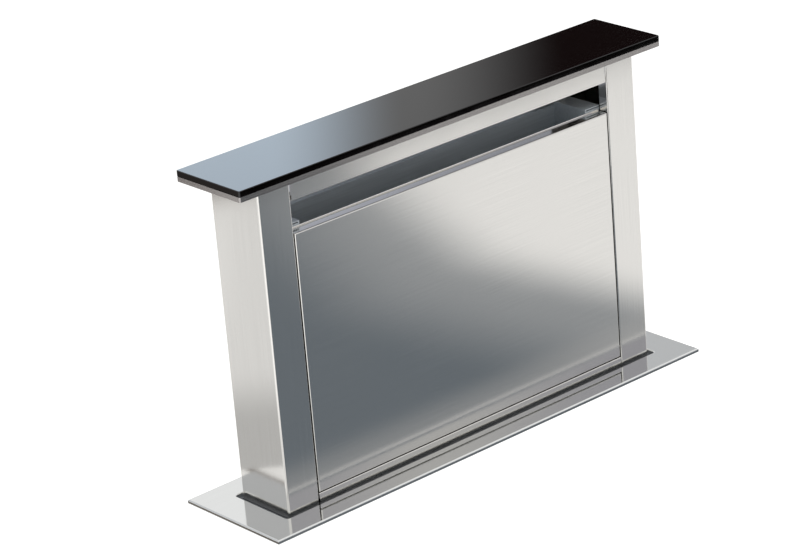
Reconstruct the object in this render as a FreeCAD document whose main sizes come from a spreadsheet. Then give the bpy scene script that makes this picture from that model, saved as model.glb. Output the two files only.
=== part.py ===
import FreeCAD, Part
import math
import os
import re
import Sketcher

# A downdraft vent for a 60 cm hob: a steel tower that rises out of a slot in the worktop, drawn
# raised. The origin is the centre of the worktop cut-out on the worktop's surface, +X runs to the
# right, -Y faces the cook and +Z is up. All sizes are in millimetres.

DIMENSIONS = [
    # trim plate on the worktop
    ("flange_length", 600, "trim plate, left to right"),
    ("flange_depth", 145, "trim plate, front to back"),
    ("flange_height", 4.5, "trim plate's top above the worktop"),
    ("flange_sheet", 1.5, "sheet of the trim plate"),
    ("flange_bevel", 1.2, "bevel round the trim plate's top"),
    ("rim_gap", 0.3, "trim plate's rim above the worktop, the gasket carries it"),
    ("cutout_end_margin", 20, "trim plate past the hole in the worktop, at each end"),
    ("cutout_side_margin", 14.5, "trim plate past the hole in the worktop, front and back"),
    ("slot_end_margin", 37, "trim plate beside the tower's slot, at each end"),
    ("slot_side_margin", 30.5, "trim plate beside the tower's slot, front and back"),
    ("slot_corner", 4, "radius of the slot's corners"),
    ("slot_bevel", 0.8, "bevel round the slot's top edge"),
    ("gasket_inset", 1, "gasket behind the trim plate's rim"),
    ("seal_gap", 0.5, "wiper seal to the tower"),
    ("seal_drop", 2.5, "wiper seal's underside below the worktop"),
    # tower
    ("rise", 352, "lid's underside above the worktop when raised"),
    ("lid_rest", 1, "lid's underside above the trim plate when lowered"),
    ("lid_end_overhang", 30, "glass lid past the tower, at each end"),
    ("lid_side_overhang", 11.75, "glass lid past the tower, front and back"),
    ("lid_corner", 1.5, "radius of the lid's corners"),
    ("glass_thickness", 6.5, "glass of the lid"),
    ("glass_arris", 0.6, "ground edge of the glass"),
    ("tray_height", 5.3, "steel tray under the glass"),
    ("tray_sheet", 1.2, "sheet of the tray"),
    ("tower_end_gap", 6.5, "tower to the slot, at each end"),
    ("tower_side_gap", 5, "tower to the slot, front and back"),
    ("tower_sheet", 1.2, "sheet of the tower's casings"),
    ("tower_skirt", 110, "tower's length below the worktop when raised"),
    ("column_width", 40, "front face of each column"),
    ("column_lip", 12, "folded lip along a column's inner edges"),
    ("column_bend", 2, "outer bend radius of a column"),
    ("sheet_bend", 1.2, "outer bend radius of the other casings"),
    ("joint_gap", 0.2, "gap between casings that are screwed together"),
    ("running_gap", 0.3, "gap between a casing and a piece that moves past it"),
    ("fascia_height", 23.5, "strip of casing between the lid and the air inlet"),
    ("fascia_fold", 12, "folded edges of the strip"),
    ("skirt_gap", 0.9, "shadow gap beside the fixed sheet below the front panel"),
    ("inlet_height", 33.5, "air inlet between the strip and the front panel"),
    ("panel_foot", 14.4, "front panel's bottom edge above the worktop"),
    ("panel_depth", 14, "fold round the front panel"),
    ("panel_gap", 1.5, "shadow gap beside the front panel"),
    ("panel_foot_gap", 1, "gap below the front panel"),
    ("panel_lip", 5, "turned-down lip of the front panel's top fold"),
    ("panel_hem", 1.4, "hem along the back of the top fold"),
    ("hem_bevel", 0.5, "bevel of the hem"),
    ("pivot_inset", 4, "front panel's pivots behind its face"),
    ("pivot_rise", 11, "front panel's pivots above its bottom edge"),
    ("pivot_radius", 1.6, "front panel's pivot pins"),
    ("pivot_clearance", 0.08, "pivot pins in the front panel"),
    ("pivot_reach", 7, "pivot pins inside the front panel"),
    ("pivot_head", 2, "head of a pivot pin"),
    ("pivot_brim", 1, "head of a pivot pin past the pin"),
    ("catch_radius", 4, "ball catches that hold the front panel"),
    ("catch_barrel", 9, "barrel of a ball catch"),
    ("catch_barrel_wall", 1.5, "wall of a ball catch's barrel"),
    ("catch_drop", 12, "ball catches below the front panel's top"),
    ("throat_shoulder", 19.5, "flat shoulder at each end of the throat"),
    ("throat_ledge", 11.5, "ledge behind the throat, front to back"),
    ("throat_rise", 5.5, "throat's end pieces above the front panel"),
    ("throat_wall", 58, "throat's end walls, top to bottom"),
    ("ledge_rise", 2, "throat's back ledge above the front panel"),
    ("back_plate_height", 56, "throat's back wall, top to bottom"),
    # grease filters
    ("filter_thickness", 9, "filter cassette"),
    ("filter_headroom", 13.5, "filters below the throat's back wall"),
    ("filter_setback", 12, "middle of the filters' foot behind the front panel's folds"),
    ("filter_back_gap", 15.5, "middle of the filters' top in front of the tower's back"),
    ("filter_gap", 1, "filter cassette to its neighbours, sideways"),
    ("filter_play", 0.5, "filter cassette in its holders, front and back"),
    ("filter_lift", 8, "lift that frees a filter from its ledge"),
    ("filter_border", 11, "frame round the filter's mesh"),
    ("filter_groove", 3, "groove in the frame that holds the mesh"),
    ("filter_sheet", 1.5, "frame in front of the mesh and behind it"),
    ("filter_foot_z", 30, "middle of the filter's bottom edge, above the worktop"),
    ("holder_sheet", 1.2, "sheet of the filter holders"),
    ("ledge_wall", 6, "walls of the lower filter holder"),
    ("channel_hold", 5, "filter inside its upper channel when seated"),
    ("channel_spare", 1, "upper channel above a lifted filter"),
    # lift
    ("gear_module", 2, "teeth of the racks and their pinions"),
    ("pinion_teeth", 14, "teeth of a lift pinion"),
    ("pinion_width", 8, "face of a lift pinion"),
    ("rack_width", 10, "lift rack, left to right"),
    ("rack_back", 8, "solid back of a lift rack"),
    ("tooth_play", 0.12, "backlash of the teeth"),
    ("rack_addendum", 1.6, "rack teeth above their pitch line"),
    ("pinion_hub", 4, "hub of a lift pinion along the shaft"),
    ("pinion_hub_wall", 3, "hub of a lift pinion round the shaft"),
    ("shaft_radius", 5, "lift shaft"),
    ("shaft_hole_gap", 1, "lift shaft in the duct's side walls"),
    ("shaft_y", 17, "lift shaft behind the middle plane"),
    ("shaft_rise", 25, "lift shaft above the tower's foot"),
    ("bearing_radius", 9, "barrel of a shaft bearing"),
    ("bearing_barrel", 5, "barrel of a shaft bearing along the shaft"),
    ("bearing_inset", 1.5, "barrel of a shaft bearing inside the flange's side of the wall"),
    ("bearing_flange", 3, "flange of a shaft bearing"),
    ("bearing_brim", 4, "flange of a shaft bearing past its barrel"),
    ("bearing_clearance", 0.05, "lift shaft in its bearings"),
    ("drive_module", 1, "teeth of the motor's gear pair"),
    ("shaft_gear_teeth", 30, "gear on the lift shaft"),
    ("motor_gear_teeth", 15, "gear on the lift motor"),
    ("drive_width", 8, "face of the motor's gears"),
    ("drive_x", 60, "motor's gears right of the middle"),
    ("drive_gap", 12, "motor's gears to the plate that carries the motor"),
    ("drive_hub", 7, "hub of the gear on the lift shaft"),
    ("drive_hub_wall", 4, "hub of the gear on the lift shaft, round the shaft"),
    ("output_length", 22, "output shaft of the gearbox past its gear"),
    ("motor_radius", 15.5, "lift motor and its gearbox"),
    ("output_radius", 2.5, "output shaft of the gearbox"),
    ("gearbox_length", 36, "gearbox of the lift motor"),
    ("motor_length", 62, "lift motor"),
    ("motor_step", 0.5, "lift motor slimmer than its gearbox"),
    ("motor_cap", 4, "bearing cap on the motor's end"),
    ("gearbox_boss", 2, "gearbox's boss past the plate that carries it"),
    ("gearbox_fit", 0.3, "gearbox's boss in the plate"),
    ("motor_margin", 2, "plate round the motor"),
    ("beam_depth", 34, "lift beam, front to back"),
    ("beam_height", 46, "lift beam, top to bottom"),
    ("beam_sheet", 1.5, "sheet of the lift beam"),
    ("rail_width", 30, "guide rail, front to back"),
    ("rail_height", 10, "guide rail, left to right"),
    ("rail_wall", 2, "wall of a guide rail"),
    ("rail_mouth", 14, "mouth of a guide rail"),
    ("rail_y", -16, "middle of the guide rails, front to back"),
    ("rail_drop", 12, "top of the guide rails below the worktop"),
    ("rail_lift", 20, "foot of the guide rails above the chassis' floor"),
    ("shoe_height", 25, "guide shoe"),
    ("shoe_play", 0.4, "guide shoe in its rail"),
    ("shoe_drop", 30, "upper guide shoes below the worktop"),
    ("shoe_spacing", 50, "between the guide shoes of a side"),
    ("shoe_foot", 4, "guide shoe's foot narrower than the rail"),
    ("shoe_gap", 1, "guide shoe's foot to the rail"),
    # chassis under the worktop
    ("chassis_gap", 6, "chassis to the hole in the worktop, all round"),
    ("chassis_sheet", 1.5, "sheet of the chassis"),
    ("chassis_lip", 5, "folded lip round the chassis' top"),
    ("screw_head_radius", 3.6, "hexagon heads of the chassis' screws"),
    ("screw_head_height", 2, "hexagon heads of the chassis' screws"),
    ("screw_inset", 6, "chassis' screws from its ends"),
    ("screw_drop", 25, "chassis' screws from its top and bottom"),
    ("screw_rows", 4, "chassis' screws along each corner"),
    ("flag_x", -180, "limit switches left of the middle"),
    ("flag_reach", 5, "trip flag behind the tower"),
    ("flag_width", 10, "trip flag, left to right"),
    ("flag_height", 8, "trip flag, top to bottom"),
    ("flag_rise", 6, "trip flag above the tower's foot"),
    ("switch_length", 20, "limit switch, left to right"),
    ("switch_height", 10, "limit switch, top to bottom"),
    ("buffer_height", 40, "rubber stops under the tower"),
    ("buffer_radius", 11, "rubber stops under the tower"),
    ("buffer_inset", 16, "rubber stops inside the columns"),
    ("stop_gap", 0.5, "tower above its stops when lowered"),
    ("bracket_drop", 40, "worktop brackets below the worktop's surface"),
    ("bracket_reach", 36, "worktop bracket beyond the chassis"),
    ("bracket_depth", 84, "worktop bracket, front to back"),
    ("bracket_height", 44, "worktop bracket, top to bottom"),
    ("bracket_sheet", 2, "sheet of the worktop brackets"),
    ("bracket_slots", 56, "between the slots of a bracket"),
    ("bracket_slot_out", 20, "slots beyond the chassis"),
    ("bracket_slot_radius", 2.75, "half the width of a slot"),
    ("bracket_slot_length", 13, "length of a slot"),
    # blower
    ("blower_width", 300, "blower box, left to right"),
    ("blower_depth", 224, "blower box, front to back"),
    ("blower_height", 280, "blower box, top to bottom"),
    ("blower_sheet", 1.2, "sheet of the blower box"),
    ("window_width", 276, "air window into the blower box"),
    ("window_height", 240, "air window into the blower box"),
    ("impeller_radius", 75, "fan wheel"),
    ("impeller_inner", 61, "inner edge of the fan's blades"),
    ("impeller_width", 88, "fan wheel along its axle"),
    ("blade_count", 36, "blades of the fan wheel"),
    ("blade_sheet", 1, "sheet of the fan's blades"),
    ("blade_lead", 3, "lead of a blade's tip, in degrees"),
    ("wheel_ring", 1.5, "end rings of the fan wheel"),
    ("wheel_ring_inset", 1, "end rings of the fan wheel inside its blades"),
    ("wheel_hub", 24, "hub of the fan wheel along the axle"),
    ("wheel_hub_wall", 8, "hub of the fan wheel round the axle"),
    ("axle_end", 20, "fan's axle left of the wheel's middle disc"),
    ("axle_reach", 14, "fan's axle inside the motor"),
    ("scroll_width", 104, "fan housing along the axle"),
    ("scroll_start", 82, "fan housing's smallest radius"),
    ("scroll_growth", 8, "growth of the housing's radius each quarter turn"),
    ("scroll_wall", 2, "wall of the fan housing"),
    ("mouth_drop", 112, "fan housing's mouth below the axle"),
    ("tongue_y", 22, "fan housing's tongue in front of the axle"),
    ("eye_radius", 64, "air eye of the fan housing"),
    ("fan_setback", 108, "fan's axle in front of the chassis"),
    ("fan_rise", 160, "fan's axle above the chassis' foot"),
    ("motor_stand", 18, "fan motor right of the wheel's middle disc"),
    ("fan_motor_radius", 44, "fan motor"),
    ("fan_motor_length", 74, "fan motor along the axle"),
    ("fan_shaft_radius", 6, "fan's axle"),
    ("arm_sheet", 2.5, "sheet of the fan motor's bracket"),
    ("arm_width", 14, "arm of the fan motor's bracket"),
    ("arm_ring", 6, "ring of the fan motor's bracket"),
    ("arm_overlap", 12, "arms past the air eye's edge"),
    ("collar_radius", 75, "outlet collar, outside"),
    ("collar_wall", 1.2, "wall of the outlet collar"),
    ("collar_length", 90, "outlet collar below the blower box"),
    ("collar_rim", 10, "rim of the outlet collar"),
    ("collar_setback", 138, "middle of the outlet collar in front of the chassis"),
    ("flap_gap", 1.2, "damper flaps to the collar"),
    ("flap_sheet", 1.2, "sheet of the damper flaps"),
    ("flap_pin_radius", 2, "pin of the damper flaps"),
    ("flap_drop", 9, "pin of the damper flaps below the blower box"),
    ("flap_curl", 1.4, "wall of a damper flap's knuckles"),
    ("flap_slit", 0.8, "damper flap to its neighbour's knuckles"),
    ("knuckle_outer", 58, "outer end of the front flap's knuckles"),
    ("knuckle_inner", 31, "inner end of the front flap's knuckles"),
    ("knuckle_gap", 1, "between the knuckles of the two flaps"),
    # electronics
    ("control_length", 160, "control box, left to right"),
    ("control_height", 90, "control box, top to bottom"),
    ("control_depth", 45, "control box, front to back"),
    ("control_wall", 2.5, "wall of the control box"),
    ("control_x", -150, "middle of the control box"),
    ("control_drop", 70, "control box below the worktop"),
    ("gland_radius", 9, "cable gland"),
    ("gland_bore", 3.6, "cable hole of the gland"),
    ("gland_length", 20, "cable gland below the control box"),
    ("gland_inset", 30, "cable gland from the control box's left end"),
    ("gland_nut", 6, "nut of the cable gland"),
    ("gland_nut_brim", 1.5, "nut of the cable gland past its dome"),
    ("gland_neck", 5, "neck of the cable gland inside the control box"),
    ("gland_step", 2, "neck of the cable gland slimmer than its dome"),
    ("board_length", 110, "touch control board"),
    ("board_x", -60, "right end of the touch control board"),
    ("board_depth", 30, "touch control board"),
    ("board_thickness", 1.6, "touch control board"),
]

# Heights, levels and faces that several pieces share, each worked out from the sizes above.
DERIVED = {
    "cutout_length": "flange_length - 2 * cutout_end_margin",
    "cutout_depth": "flange_depth - 2 * cutout_side_margin",
    "slot_length": "flange_length - 2 * slot_end_margin",
    "slot_depth": "flange_depth - 2 * slot_side_margin",
    "tower_length": "slot_length - 2 * tower_end_gap",
    "tower_depth": "slot_depth - 2 * tower_side_gap",
    "lid_length": "tower_length + 2 * lid_end_overhang",
    "lid_depth": "tower_depth + 2 * lid_side_overhang",
    "chassis_length": "cutout_length - 2 * chassis_gap",
    "chassis_depth": "cutout_depth - 2 * chassis_gap",
    "deck": "rise + tray_height - tray_sheet",
    "tower_end": "tower_length / 2",
    "tower_face": "tower_depth / 2",
    "tower_foot": "-tower_skirt",
    "column_inner": "tower_length / 2 - column_width",
    "fascia_foot": "rise - fascia_height",
    "panel_top": "rise - fascia_height - inlet_height",
    "panel_half": "tower_length / 2 - column_width - panel_gap",
    "pivot_y": "pivot_inset - tower_depth / 2",
    "pivot_z": "panel_foot + pivot_rise",
    "skirt_top": "panel_foot - panel_foot_gap",
    "throat_top": "panel_top + throat_rise",
    "throat_front": "panel_depth + running_gap - tower_depth / 2",
    "throat_back": "tower_face - tower_sheet - throat_ledge",
    "throat_half": "column_inner - throat_shoulder",
    "back_plate_foot": "panel_top + ledge_rise - back_plate_height",
    "filter_foot_y": "panel_depth - tower_face + filter_setback",
    "filter_run": "tower_face - tower_sheet - filter_back_gap - filter_foot_y",
    "filter_climb": "back_plate_foot - filter_headroom - filter_foot_z",
    "filter_length": "sqrt(filter_run ^ 2 + filter_climb ^ 2)",
    "filter_tilt": "atan(filter_run / filter_climb)",
    "travel": "rise - flange_height - lid_rest",
    "flag_z": "tower_foot + flag_rise",
    "seat_top": "flange_height - flange_sheet",
    "wall_end": "chassis_length / 2 - chassis_sheet",
    "wall_face": "chassis_depth / 2 - chassis_sheet",
    "floor": "-(tower_skirt + travel + stop_gap + buffer_height)",
    "chassis_foot": "floor - chassis_sheet",
    "shaft_z": "shaft_rise - tower_skirt",
    "pinion_pitch": "gear_module * pinion_teeth / 2",
    "pinion_middle": "wall_end - rack_width / 2",
    "drive_distance": "drive_module * (shaft_gear_teeth + motor_gear_teeth) / 2",
    "motor_y": "shaft_y - drive_distance",
    "plate_x": "drive_x + drive_width + drive_gap",
    "rail_top": "-rail_drop",
    "rail_foot": "floor + rail_lift",
    "blower_back": "-chassis_depth / 2",
    "blower_front": "-chassis_depth / 2 - blower_depth",
    "blower_top": "chassis_foot + blower_height",
    "fan_y": "blower_back - fan_setback",
    "fan_z": "chassis_foot + fan_rise",
    "collar_y": "blower_back - collar_setback",
    "flap_z": "chassis_foot - flap_drop",
    "cassette_width": "column_inner - tower_sheet - joint_gap - 1.5 * filter_gap",
}

document = FreeCAD.newDocument("downdraft_vent")
dims = document.addObject("Spreadsheet::Sheet", "dims")
for row, (alias, size, meaning) in enumerate(DIMENSIONS, start=1):
    dims.set(f"A{row}", meaning)
    dims.set(f"B{row}", str(size))
    dims.setAlias(f"B{row}", alias)
document.recompute()

ALIASES = {alias for alias, size, meaning in DIMENSIONS}
WORD = re.compile(r"[a-z][a-z_]*")
LEFT, RIGHT = -1, 1
PRESSURE_ANGLE = math.radians(20)
DEDENDUM = 1.25
NODES = []


def spelled(text, prefix="dims."):
    """The expression with derived names written out and the sheet named before each alias."""
    def swap(match):
        word = match.group(0)
        if word in DERIVED:
            return "(" + spelled(DERIVED[word], prefix) + ")"
        return prefix + word if word in ALIASES else word
    return WORD.sub(swap, str(text))


def value(text):
    """The number that an expression has now."""
    return float(dims.evalExpression(spelled(text, prefix="")))


def bind(thing, path, text):
    """Ties a property to an expression of the sheet's sizes."""
    thing.setExpression(path, spelled(text))


def place(thing, x=0, y=0, z=0):
    """Ties a thing's place to expressions."""
    for axis, text in zip("xyz", (x, y, z)):
        bind(thing, f"Placement.Base.{axis}", text)


def node(thing):
    """Lists a finished sub-part for export."""
    NODES.append(thing)
    return thing


def vector(x, y, z):
    """A vector from three expressions."""
    return FreeCAD.Vector(value(x), value(y), value(z))


# PartDesign helpers ---------------------------------------------------------------------------

def new_body(label, x=0, y=0, z=0):
    """A body at a place given by expressions."""
    body = node(document.addObject("PartDesign::Body", label))
    body.AllowCompound = True
    place(body, x, y, z)
    return body


def new_sketch(body, plane, level=0):
    """A sketch on one of the body's own origin planes, moved along the plane's normal."""
    sketch = body.newObject("Sketcher::SketchObject", body.Label + "_sketch")
    base = [item for item in body.Origin.OriginFeatures if item.Role == plane + "_Plane"][0]
    sketch.AttachmentSupport = (base, [""])
    sketch.MapMode = "FlatFace"
    bind(sketch, "AttachmentOffset.Base.z", level)
    return sketch


def draw(sketch, points):
    """Adds a closed outline of straight edges through points given as expressions."""
    first = sketch.GeometryCount
    count = len(points)
    corners = [vector(x, y, 0) for x, y in points]
    for index in range(count):
        edge = Part.LineSegment(corners[index], corners[(index + 1) % count])
        sketch.addGeometry(edge, False)
    for index in range(count):
        following = first + (index + 1) % count
        sketch.addConstraint(Sketcher.Constraint("Coincident", first + index, 2, following, 1))
    for index, (x, y) in enumerate(points):
        for kind, text in (("DistanceX", x), ("DistanceY", y)):
            size = value(text)
            rule = sketch.addConstraint(Sketcher.Constraint(kind, -1, 1, first + index, 1, size))
            bind(sketch, f"Constraints[{rule}]", text)
    return sketch


def draw_circle(sketch, x, y, radius):
    """Adds a circle with its middle and radius given as expressions."""
    circle = Part.Circle(vector(x, y, 0), FreeCAD.Vector(0, 0, 1), value(radius))
    index = sketch.addGeometry(circle, False)
    for kind, text in (("DistanceX", x), ("DistanceY", y)):
        rule = sketch.addConstraint(Sketcher.Constraint(kind, -1, 1, index, 3, value(text)))
        bind(sketch, f"Constraints[{rule}]", text)
    rule = sketch.addConstraint(Sketcher.Constraint("Radius", index, value(radius)))
    bind(sketch, f"Constraints[{rule}]", radius)
    return sketch


def rectangle(x_low, y_low, x_high, y_high):
    """The four corners of a rectangle."""
    return [(x_low, y_low), (x_high, y_low), (x_high, y_high), (x_low, y_high)]


def centred(length, depth):
    """The four corners of a rectangle about the middle."""
    return rectangle(f"-({length}) / 2", f"-({depth}) / 2", f"({length}) / 2", f"({depth}) / 2")


def pad(body, sketch, length, both=False, back=False):
    """Pads a sketch, to one side of its plane or to both."""
    feature = body.newObject("PartDesign::Pad", body.Label + "_pad")
    feature.Profile = sketch
    feature.SideType = "Symmetric" if both else "One side"
    feature.Reversed = back
    bind(feature, "Length", length)
    return finish_feature(body, feature)


def pocket(body, sketch, length, both=False, back=False):
    """Cuts a sketch out of the body. Without back, the cut runs against the plane's normal."""
    before = body.Shape.Volume
    feature = body.newObject("PartDesign::Pocket", body.Label + "_pocket")
    feature.Profile = sketch
    feature.SideType = "Symmetric" if both else "One side"
    feature.Reversed = back
    bind(feature, "Length", length)
    finish_feature(body, feature)
    if body.Shape.Volume > before - 0.01:
        raise RuntimeError(f"{body.Label}: {feature.Name} cuts nothing")
    return feature


def finish_feature(body, feature):
    """Makes a feature the body's last one and recomputes it."""
    body.Tip = feature
    document.recompute()
    return feature


def edges_where(body, test):
    """The names of the body's edges whose two end points meet a test."""
    names = []
    for index, edge in enumerate(body.Tip.Shape.Edges, start=1):
        ends = [vertex.Point for vertex in edge.Vertexes]
        if len(ends) == 2 and test(*ends):
            names.append(f"Edge{index}")
    return names


def near(first, second):
    """Whether two lengths are the same."""
    return abs(first - second) < 1e-4


def round_edges(body, test, radius, kind="Fillet"):
    """Rounds or bevels the edges that meet a test."""
    base, names = body.Tip, edges_where(body, test)
    feature = body.newObject("PartDesign::" + kind, body.Label + "_" + kind.lower())
    feature.Base = (base, names)
    bind(feature, "Radius" if kind == "Fillet" else "Size", radius)
    return finish_feature(body, feature)


def corner_edges(x, y):
    """A test for the upright edges at the four corners (+-x, +-y)."""
    half_x, half_y = value(x), value(y)

    def test(start, end):
        upright = near(start.x, end.x) and near(start.y, end.y)
        return upright and near(abs(start.x), half_x) and near(abs(start.y), half_y)
    return test


def level_edges(*levels):
    """A test for the edges that lie at one of some heights."""
    return lambda start, end: any(near(start.z, z) and near(end.z, z) for z in levels)


# Part helpers ---------------------------------------------------------------------------------

def block(label, low, size):
    """A Part box from its low corner and its size."""
    box = document.addObject("Part::Box", label)
    for name, text in zip(("Length", "Width", "Height"), size):
        bind(box, name, text)
    place(box, *low)
    return box


def cylinder(label, centre, radius, length, axis="z"):
    """A Part cylinder that starts at centre and runs along +x, -y or +z."""
    rod = document.addObject("Part::Cylinder", label)
    bind(rod, "Radius", radius)
    bind(rod, "Height", length)
    turn = {"x": (FreeCAD.Vector(0, 1, 0), 90), "y": (FreeCAD.Vector(1, 0, 0), 90)}
    if axis in turn:
        rod.Placement.Rotation = FreeCAD.Rotation(*turn[axis])
    place(rod, *centre)
    return rod


def cut(label, base, tools):
    """The base less its tools."""
    for index, tool in enumerate(tools):
        last = index == len(tools) - 1
        piece = document.addObject("Part::Cut", label if last else f"{label}_step")
        piece.Base, piece.Tool = base, tool
        base = piece
    return base


def fuse(label, shapes):
    """One solid from several."""
    piece = document.addObject("Part::MultiFuse", label)
    piece.Shapes = shapes
    piece.Refine = True
    return piece


def group(label, shapes):
    """Several like solids in one node."""
    piece = document.addObject("Part::Compound", label)
    piece.Links = shapes
    return piece


def feature(label, shape, x=0, y=0, z=0):
    """A sub-part whose shape is made by Part's own functions."""
    piece = document.addObject("Part::Feature", label)
    piece.Shape = shape
    place(piece, x, y, z)
    return node(piece)


# Trim plate, gasket and seal --------------------------------------------------------------------

def make_worktop_flange():
    """The trim plate: a shallow steel tray upside down, with a turned-down slot edge."""
    body = new_body("worktop_flange", z="rim_gap")
    pad(body, draw(new_sketch(body, "XY"), centred("flange_length", "flange_depth")),
        "flange_height - rim_gap")
    round_edges(body, level_edges(value("flange_height - rim_gap")), "flange_bevel",
                kind="Chamfer")
    hollow = new_sketch(body, "XY")
    draw(hollow, centred("flange_length - 2 * flange_sheet", "flange_depth - 2 * flange_sheet"))
    draw(hollow, centred("slot_length + 2 * flange_sheet", "slot_depth + 2 * flange_sheet"))
    pocket(body, hollow, "seat_top - rim_gap", back=True)
    slot = draw(new_sketch(body, "XY"), centred("slot_length", "slot_depth"))
    pocket(body, slot, "flange_height", back=True)
    round_edges(body, corner_edges("slot_length / 2", "slot_depth / 2"), "slot_corner")
    round_edges(
        body,
        corner_edges("slot_length / 2 + flange_sheet", "slot_depth / 2 + flange_sheet"),
        "slot_corner + flange_sheet")
    round_edges(body, slot_rim(), "slot_bevel", kind="Chamfer")


def slot_rim():
    """A test for the slot's four straight edges and four corner arcs at the plate's top."""
    top = value("flange_height - rim_gap")
    half_x, half_y = value("slot_length / 2"), value("slot_depth / 2")

    def test(start, end):
        level = near(start.z, top) and near(end.z, top)
        return level and all(abs(point.x) < half_x + 0.01 and abs(point.y) < half_y + 0.01
                             for point in (start, end))
    return test


def make_ring(label, low, high, outer, inner):
    """A flat rectangular ring from one level to another."""
    body = new_body(label, z=low)
    sketch = new_sketch(body, "XY")
    draw(sketch, centred(*outer))
    draw(sketch, centred(*inner))
    pad(body, sketch, f"({high}) - ({low})")
    return body


def make_seals():
    """The foam gasket under the trim plate and the wiper seal round the slot."""
    margin = "2 * (flange_sheet + gasket_inset)"
    make_ring("worktop_gasket", "0", "seat_top",
              (f"flange_length - {margin}", f"flange_depth - {margin}"),
              ("cutout_length", "cutout_depth"))
    strips = []
    for side, word in ((LEFT, "left"), (RIGHT, "right")):
        strips.append(seal_strip(f"{word}_seal", side, "x", "wall_end - joint_gap",
                                 "slot_length / 2 + flange_sheet", "tower_end + seal_gap",
                                 "wall_face - joint_gap"))
    for side, word in ((LEFT, "front"), (RIGHT, "back")):
        strips.append(seal_strip(f"{word}_seal", side, "y", "wall_face - joint_gap",
                                 "slot_depth / 2 + flange_sheet", "tower_face + seal_gap",
                                 "tower_end + seal_gap"))
    node(group("slot_seal", strips))


def seal_strip(label, side, axis, outer, upper, lower, half):
    """One side of the wiper seal: a base under the trim plate and a wider lip below it."""
    base = strip_block(f"{label}_base", side, axis, upper, outer, half, "0", "seat_top")
    lip = strip_block(f"{label}_lip", side, axis, lower, outer, half, "-seal_drop", "rim_gap")
    return fuse(label, [base, lip])


def strip_block(label, side, axis, inner, outer, half, low, high):
    """A block between two distances from the middle on one side, as long as twice half."""
    near_edge = inner if side == RIGHT else f"-({outer})"
    size = (f"({outer}) - ({inner})", f"2 * ({half})", f"({high}) - ({low})")
    if axis == "x":
        return block(label, (near_edge, f"-({half})", low), size)
    return block(label, (f"-({half})", near_edge, low), (size[1], size[0], size[2]))


# Lid and tower casings --------------------------------------------------------------------------

def make_lid():
    """The glass lid on its steel tray."""
    glass = new_body("lid_glass", z="rise + tray_height")
    pad(glass, draw(new_sketch(glass, "XY"), centred("lid_length", "lid_depth")),
        "glass_thickness")
    round_edges(glass, corner_edges("lid_length / 2", "lid_depth / 2"), "lid_corner")
    round_edges(glass, level_edges(0, value("glass_thickness")), "glass_arris", kind="Chamfer")

    tray = new_body("lid_tray", z="rise")
    pad(tray, draw(new_sketch(tray, "XY"), centred("lid_length", "lid_depth")), "tray_height")
    round_edges(tray, corner_edges("lid_length / 2", "lid_depth / 2"), "lid_corner")
    inside = centred("lid_length - 2 * tray_sheet", "lid_depth - 2 * tray_sheet")
    pocket(tray, draw(new_sketch(tray, "XY"), inside), "tray_height - tray_sheet", back=True)


def make_column(label, side):
    """A side column: folded steel, open towards the tower's middle between two lips."""
    body = new_body(label, z="tower_foot")
    end, inner = f"{side} * tower_end", f"{side} * column_inner"
    wall = f"{side} * tower_sheet"
    outline = [
        (inner, "column_lip - tower_face"), (inner, "-tower_face"), (end, "-tower_face"),
        (end, "tower_face"), (inner, "tower_face"), (inner, "tower_face - column_lip"),
        (f"{inner} + {wall}", "tower_face - column_lip"),
        (f"{inner} + {wall}", "tower_face - tower_sheet"),
        (f"{end} - {wall}", "tower_face - tower_sheet"),
        (f"{end} - {wall}", "tower_sheet - tower_face"),
        (f"{inner} + {wall}", "tower_sheet - tower_face"),
        (f"{inner} + {wall}", "column_lip - tower_face"),
    ]
    pad(body, draw(new_sketch(body, "XY"), outline), "deck - tower_foot")
    round_edges(body, corner_edges("tower_end - tower_sheet", "tower_face - tower_sheet"),
                "column_bend - tower_sheet")
    round_edges(body, corner_edges("tower_end", "tower_face"), "column_bend")
    round_edges(body, corner_edges("column_inner", "tower_face"), "sheet_bend")
    shaft_hole = new_sketch(body, "YZ", level=f"{end} - {wall} / 2")
    draw_circle(shaft_hole, "shaft_y", "shaft_rise", "bearing_radius + joint_gap / 2")
    pocket(body, shaft_hole, "2 * column_bend", both=True)
    lip_level = f"{inner} + {wall} / 2"
    holes = new_sketch(body, "YZ", level=lip_level)
    draw_circle(holes, "pivot_y", "pivot_z - tower_foot", "pivot_radius + joint_gap / 2")
    draw_circle(holes, "throat_front - panel_depth / 2", "panel_top - catch_drop - tower_foot",
                "catch_radius + joint_gap / 2")
    pocket(body, holes, "2 * tower_sheet", both=True)


def make_rear_panel():
    """The plain back of the tower, folded forward along both sides."""
    body = new_body("rear_panel", z="tower_foot")
    half = "(column_inner - joint_gap)"
    fold = "tower_face - column_lip"
    outline = [
        (f"-{half}", fold), (f"-{half}", "tower_face"), (half, "tower_face"), (half, fold),
        (f"{half} - tower_sheet", fold), (f"{half} - tower_sheet", "tower_face - tower_sheet"),
        (f"tower_sheet - {half}", "tower_face - tower_sheet"), (f"tower_sheet - {half}", fold),
    ]
    pad(body, draw(new_sketch(body, "XY"), outline), "deck - tower_foot")
    add_trip_flag(body)


def make_front_fascia():
    """The strip of casing above the air inlet, folded back along its top and bottom."""
    body = new_body("front_fascia")
    face, skin = "-tower_face", "tower_sheet"
    back = f"{face} + fascia_fold"
    outline = [
        (face, "fascia_foot"), (back, "fascia_foot"), (back, f"fascia_foot + {skin}"),
        (f"{face} + {skin}", f"fascia_foot + {skin}"), (f"{face} + {skin}", f"deck - {skin}"),
        (back, f"deck - {skin}"), (back, "deck"), (face, "deck"),
    ]
    pad(body, draw(new_sketch(body, "YZ"), outline), "2 * panel_half", both=True)
    round_edges(body, front_edges("panel_half", "fascia_foot"), "sheet_bend")


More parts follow.
